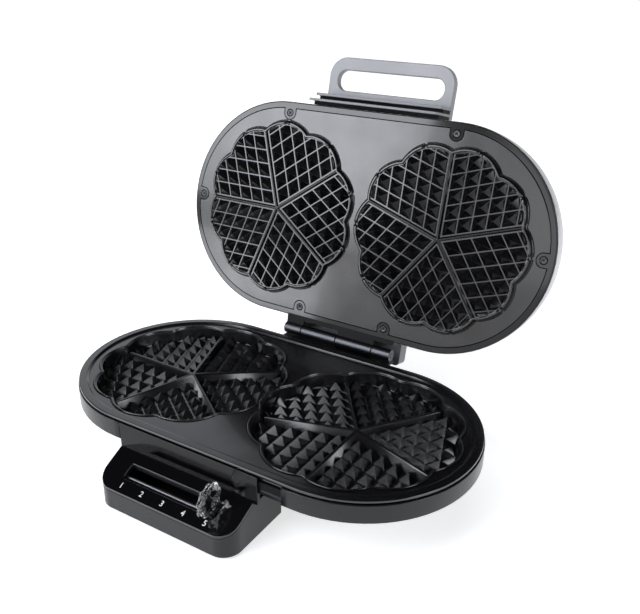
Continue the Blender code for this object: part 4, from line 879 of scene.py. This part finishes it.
gland = along_y("gland_bush", [(r * MM, shell_radius + y * MM) for r, y in (
    (4.0, -8.2), (4.4, -7.8), (4.4, 0.3), (6.1, 0.3), (6.4, 0.7), (6.4, 1.7), (6.0, 2.2), (5.2, 2.3), (3.4, 2.3),
    (2.9, 1.8), (2.9, -8.2))], gland_x, gland_z)
place(soften(gland, 0.0), "base", soft_rubber, "cord_gland")

# %% Feet
feet = {"foot_front_left": (-61.8, -114.0, 1.7), "foot_front_right": (37.0, -114.0, 1.7),
        "foot_rear_left": (-98.0, 82.0, 12.7), "foot_rear_right": (98.0, 82.0, 12.7)}
for name, (x, y, high) in feet.items():
    rows = ((5.6, 0.0), (6.5, 0.25), (6.85, 0.6), (7.9, high - 0.2), (7.9, high))
    made = loft("pad_" + name, [at(circle(r * MM, (x * MM, y * MM)), z * MM) for r, z in rows])
    place(soften(made, 0.0), "base", soft_rubber, name)

# %% [markdown]
# ## Control module
# The module is a housing with a sloping gloss panel, under an upright fascia. The slide control
# runs in the panel's slot: a thin trim lines it, and a steel rod shows inside.

# %% Housing and panel
slope = 15.6 / 32
slope_angle = math.atan(slope)


def panel_z(y, drop=0.0):
    return plate_level - 25 * MM + slope * (y + shell_radius) - drop


def sloped(name, outline, low, drop):
    return loft(name, [at(outline, low), [(x, y, panel_z(y, drop)) for x, y in outline]])


def module_plan(inset, back):
    return rounded_box(-module_left + inset, module_right - inset, -module_front + inset, -back, 15 * MM - inset, 0.0)


slot_left, slot_right = 57.5 * MM, 33.5 * MM
slot_y = shell_radius + 15.2 * MM


def slot_plan(inset):
    half = 6.2 * MM - inset
    return rounded_box(-slot_left + inset, slot_right - inset, -slot_y - half, -slot_y + half, 1.5 * MM - inset / 2,
                       1.5 * MM - inset / 2, 5)


module_face = shell_radius + seam
rear_top = plate_level - 28 * MM
housing = sloped("housing_moulding", module_plan(0.0, module_face), module_low, 2.3 * MM)
join(housing, box("rear", (-module_left, -module_face - sink, module_low), (module_right, -module_back, rear_top)))
cut(housing, sloped("room", module_plan(2.2 * MM, module_face), module_low - 2 * MM, 4.5 * MM),
    box("room", (-module_left + 2.2 * MM, -module_face - sink, module_low - 2 * MM),
        (module_right - 2.2 * MM, -module_back - 2.2 * MM, rear_top - 2.2 * MM)),
    prism("slot", slot_plan(0.0), plate_level - 60 * MM, plate_level),
    box("wires", (-12 * MM, -module_back - 4.2 * MM, rear_top - 11.2 * MM), (12 * MM, -module_back + 2 * MM, rear_top - 2.2 * MM)))
place(soften(housing, 0.5 * MM, 3), "base", satin_plastic, "control_housing")

plan = module_plan(0.0, module_face)
panel = loft("gloss_panel", [[(x, y, panel_z(y, 2 * MM)) for x, y in plan], [(x, y, panel_z(y)) for x, y in plan]])
cut(panel, prism("slot", slot_plan(0.0), plate_level - 60 * MM, plate_level))
place(soften(panel, 0.35 * MM, 2, 25), "base", black_gloss, "control_panel")

# %% Fascia and the set-back wall beside it
fascia = box("fascia_plate", (-fascia_left, -shell_radius, plate_level - 27.7 * MM), (fascia_right, -shell_radius + 3.5 * MM, shell_top))
back_wall = box("recess_wall", (-fascia_left - 3 * MM, -95.5 * MM, plate_level - 14.7 * MM), (recess_right + 3 * MM, -93.3 * MM, plate_level - 8.2 * MM))
place(soften(fascia, 0.4 * MM, 3), "base", fascia_plastic, "control_fascia")
# The recess wall is near black as painted shade: it stands for the shade deep in the recess.
place(soften(back_wall, 0.3 * MM, 2), "base", black_with_painted_shade, "control_fascia")

# %% Slot trim
trim_rings = [[(x, y, panel_z(y, drop)) for x, y in slot_plan(inset)] for inset, drop in (
    (0.05 * MM, 0.25 * MM), (0.6 * MM, 0.25 * MM), (0.6 * MM, 1.0 * MM), (0.05 * MM, 1.0 * MM))]
trim = loft("slot_trim", trim_rings, turned=True)
place(soften(trim, 0.1 * MM, 2), "base", gloss_plastic)

# %% Rod, carriage and knob
rod_z = panel_z(-slot_y) - 6.4 * MM
rod = loft("guide_rod_bar", [[(x, y, z) for y, z in circle(r * MM, (-slot_y, rod_z))] for x, r in (
    (-65 * MM, 1.2), (-64.7 * MM, 1.5), (40.7 * MM, 1.5), (41 * MM, 1.2))])
place(soften(rod, 0.0), "base", drawn_steel, "guide_rod")
knob_x = 28 * MM
down = Vector((0.0, -math.cos(slope_angle), -math.sin(slope_angle)))
away = Vector((0.0, -math.sin(slope_angle), math.cos(slope_angle)))
foot_point = Vector((knob_x, -slot_y, panel_z(-slot_y)))
knob_middle = foot_point + away * 13.1 * MM
ripples = 9
knob_steps = 96
knob_profile = ((-0.5, 0.36), (-0.49, 0.44), (-0.45, 0.62), (-0.4, 0.74), (-0.32, 0.86), (-0.22, 0.94), (-0.1, 0.99),
                (0.0, 1.0), (0.1, 0.99), (0.22, 0.94), (0.32, 0.86), (0.4, 0.74), (0.45, 0.62), (0.49, 0.44), (0.5, 0.36))
knob_rings = []
for across, size in knob_profile:
    ring = []
    for i in range(knob_steps):
        angle = math.tau * i / knob_steps
        wave = size * (1 + 0.07 * math.cos(angle * ripples))
        ring.append(knob_middle + Vector((6.0 * MM * across, 0.0, 0.0)) + down * math.cos(angle) * 13.0 * MM * wave
                    + away * math.sin(angle) * 12.5 * MM * wave)
    knob_rings.append(ring)
knob = loft("clear_knob", knob_rings)
flat = foot_point + away * 1.0 * MM
corners = [flat + down * 27 * MM * s for s in (1, -1)] + [flat + down * 27 * MM * s - away * 25 * MM for s in (-1, 1)]
cut(knob, along_x("under", [(p.y, p.z) for p in corners], knob_x - 9.5 * MM, knob_x + 9.5 * MM))
place(soften(knob, 0.0), "slider", clear_acrylic, "slider_knob")

# %% Numerals
slope_turn = Matrix.Rotation(slope_angle, 4, "X")
digits = []
for k in range(5):
    x = (-54 + 20.5 * k) * MM
    text = bpy.data.curves.new("digit", "FONT")
    text.body = str(k + 1)
    text.size = 6.6 * MM
    text.extrude = 0.06 * MM
    text.align_x = "CENTER"
    text.align_y = "CENTER"
    shown = bpy.data.objects.new("digit", text)
    bpy.context.scene.collection.objects.link(shown)
    bpy.context.view_layer.update()
    mesh = bpy.data.meshes.new_from_object(shown.evaluated_get(bpy.context.evaluated_depsgraph_get()))
    bpy.data.objects.remove(shown)
    y = -shell_radius - 26.6 * MM
    mesh.transform(Matrix.Translation((x, y, panel_z(y) + 0.02 * MM)) @ slope_turn)
    digit = bpy.data.objects.new("digit", mesh)
    bpy.context.scene.collection.objects.link(digit)
    digits.append(digit)
place(gather("dial_numerals", digits), "base", white_ink)

# %% [markdown]
# ## Solids that are already right
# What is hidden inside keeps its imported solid, and only gets the finish of the real thing.

# %% Finishes of the kept solids
kept = {
    "lower_heater_left": oxidised_tube, "lower_heater_right": oxidised_tube, "upper_heater_left": oxidised_tube,
    "upper_heater_right": oxidised_tube, "lower_shield_left": rolled_aluminium, "lower_shield_right": rolled_aluminium,
    "upper_shield_left": rolled_aluminium, "upper_shield_right": rolled_aluminium, "plate_thermostat": plain_ceramic,
    "thermal_cutout": plain_ceramic, "module_cover": pan_plastic, "rod_holder_left": pan_plastic,
    "rod_holder_right": pan_plastic, "slide_thermostat": brown_ceramic, "terminal_block": plain_ceramic,
    "slider_carriage": pan_plastic,
}
for name, look in kept.items():
    solid = frame["nodes"][name]
    solid.data.materials.clear()
    solid.data.materials.append(look)
print("kept solids", len(kept))

# %% [markdown]
# ## Camera
# The camera stands at the right front, above the machine, where the photograph was taken.

# %% Camera
eye = Vector((0.3335, -0.51388, 0.4066))
right = Vector((0.841, 0.541, 0.0)).normalized()
back = Vector((0.490, -0.762, 0.423)).normalized()
up = back.cross(right).normalized()
right = up.cross(back).normalized()
camera_data = bpy.data.cameras.new("camera")
camera_data.lens = 45.18
camera_data.sensor_width = 36
camera_data.shift_x = 0.0355
camera_data.shift_y = 0.0081
camera_data.clip_start = 0.01
camera = bpy.data.objects.new("camera", camera_data)
bpy.context.scene.collection.objects.link(camera)
camera.matrix_world = Matrix.Translation(eye) @ Matrix((right, up, back)).transposed().to_4x4()
bpy.context.scene.camera = camera

# %% [markdown]
# ## Floor and light
# A white sweep and large soft lamps are what a catalogue photograph is made with. The floor shows
# a little light of its own to the camera, so it turns white, and only the contact shadow stays.
# Black plates have no colour of their own: they show the lamps, so the lamps' places matter most.

# %% Floor
floor = loft("floor", [[(x * 3, y * 3, -0.0005 - d) for x, y in ((-1, -1), (1, -1), (1, 1), (-1, 1))] for d in (0.01, 0.0)])
sweep = bpy.data.materials.new("white_paper_sweep")
sweep.use_nodes = True
tree = sweep.node_tree
paper = tree.nodes["Principled BSDF"]
paper.inputs["Base Color"].default_value = linear("#E6E6E6")
paper.inputs["Roughness"].default_value = 0.9
ray = node(tree, "ShaderNodeLightPath")
spot = node(tree, "ShaderNodeTexCoord").outputs["Object"]
distance = node(tree, "ShaderNodeVectorMath", {0: spot}, operation="LENGTH").outputs["Value"]
floor_lift = node(tree, "ShaderNodeMapRange", {"Value": distance, "From Min": 0.15, "From Max": 0.6,
                                               "To Min": 0.65, "To Max": 1.0}, interpolation_type="SMOOTHSTEP")
straight = node(tree, "ShaderNodeMath", {0: ray.outputs["Is Camera Ray"], 1: ray.outputs["Is Transmission Ray"]},
                operation="MAXIMUM")
seen = node(tree, "ShaderNodeMath", {0: straight.outputs[0], 1: ray.outputs["Is Glossy Ray"]}, operation="MAXIMUM")
lift = node(tree, "ShaderNodeMath", {0: seen.outputs[0], 1: floor_lift.outputs["Result"]}, operation="MULTIPLY")
glow = node(tree, "ShaderNodeEmission", {"Color": (1.0, 1.0, 1.0, 1.0), "Strength": lift.outputs[0]})
both = node(tree, "ShaderNodeAddShader", {0: paper.outputs[0], 1: glow.outputs[0]})
tree.links.new(both.outputs[0], tree.nodes["Material Output"].inputs["Surface"])
floor.data.materials.append(sweep)

# %% Lamps and world
lamp_tint = (0.91, 0.935, 1.0)


def softbox(name, place_at, size, power, target=(0.0, 0.0, 0.1)):
    data = bpy.data.lights.new(name, "AREA")
    data.shape = "RECTANGLE"
    data.size, data.size_y = size
    data.energy = power
    data.color = lamp_tint
    lamp = bpy.data.objects.new(name, data)
    bpy.context.scene.collection.objects.link(lamp)
    lamp.location = place_at
    lamp.visible_camera = False
    lamp.rotation_euler = (Vector(target) - Vector(place_at)).to_track_quat("-Z", "Y").to_euler()
    return lamp


softbox("left_front_softbox", (-0.93, -1.34, 0.62), (0.66, 0.6), 8.6)
softbox("low_left_softbox", (-1.0, -1.3, 0.12), (0.42, 0.2), 1.6)
softbox("high_front_softbox", (-0.5, -1.15, 1.2), (1.0, 0.8), 15)
softbox("back_left_softbox", (-1.15, 0.95, 0.85), (1.0, 0.8), 2.4)
overhead = softbox("overhead_fill", (-0.1, 0.1, 1.5), (1.4, 1.0), 7)
overhead.visible_glossy = False
softbox("front_fill", (-0.28, -1.7, 0.5), (0.5, 0.4), 0.9)
softbox("right_fill", (1.5, -0.2, 0.6), (0.6, 0.6), 8)
world = bpy.data.worlds.new("studio")
bpy.context.scene.world = world
world.use_nodes = True
tree = world.node_tree
direction = node(tree, "ShaderNodeSeparateXYZ", {0: node(tree, "ShaderNodeTexCoord").outputs["Generated"]})
wall = node(tree, "ShaderNodeMapRange", {"Value": direction.outputs["Z"], "From Min": 0.15, "From Max": 0.38,
                                         "To Min": 1.0, "To Max": 0.03})
sky = tree.nodes["Background"]
sky.inputs["Color"].default_value = (1.0, 1.0, 1.0, 1.0)
tree.links.new(wall.outputs["Result"], sky.inputs["Strength"])
bpy.context.scene.view_settings.view_transform = "Standard"
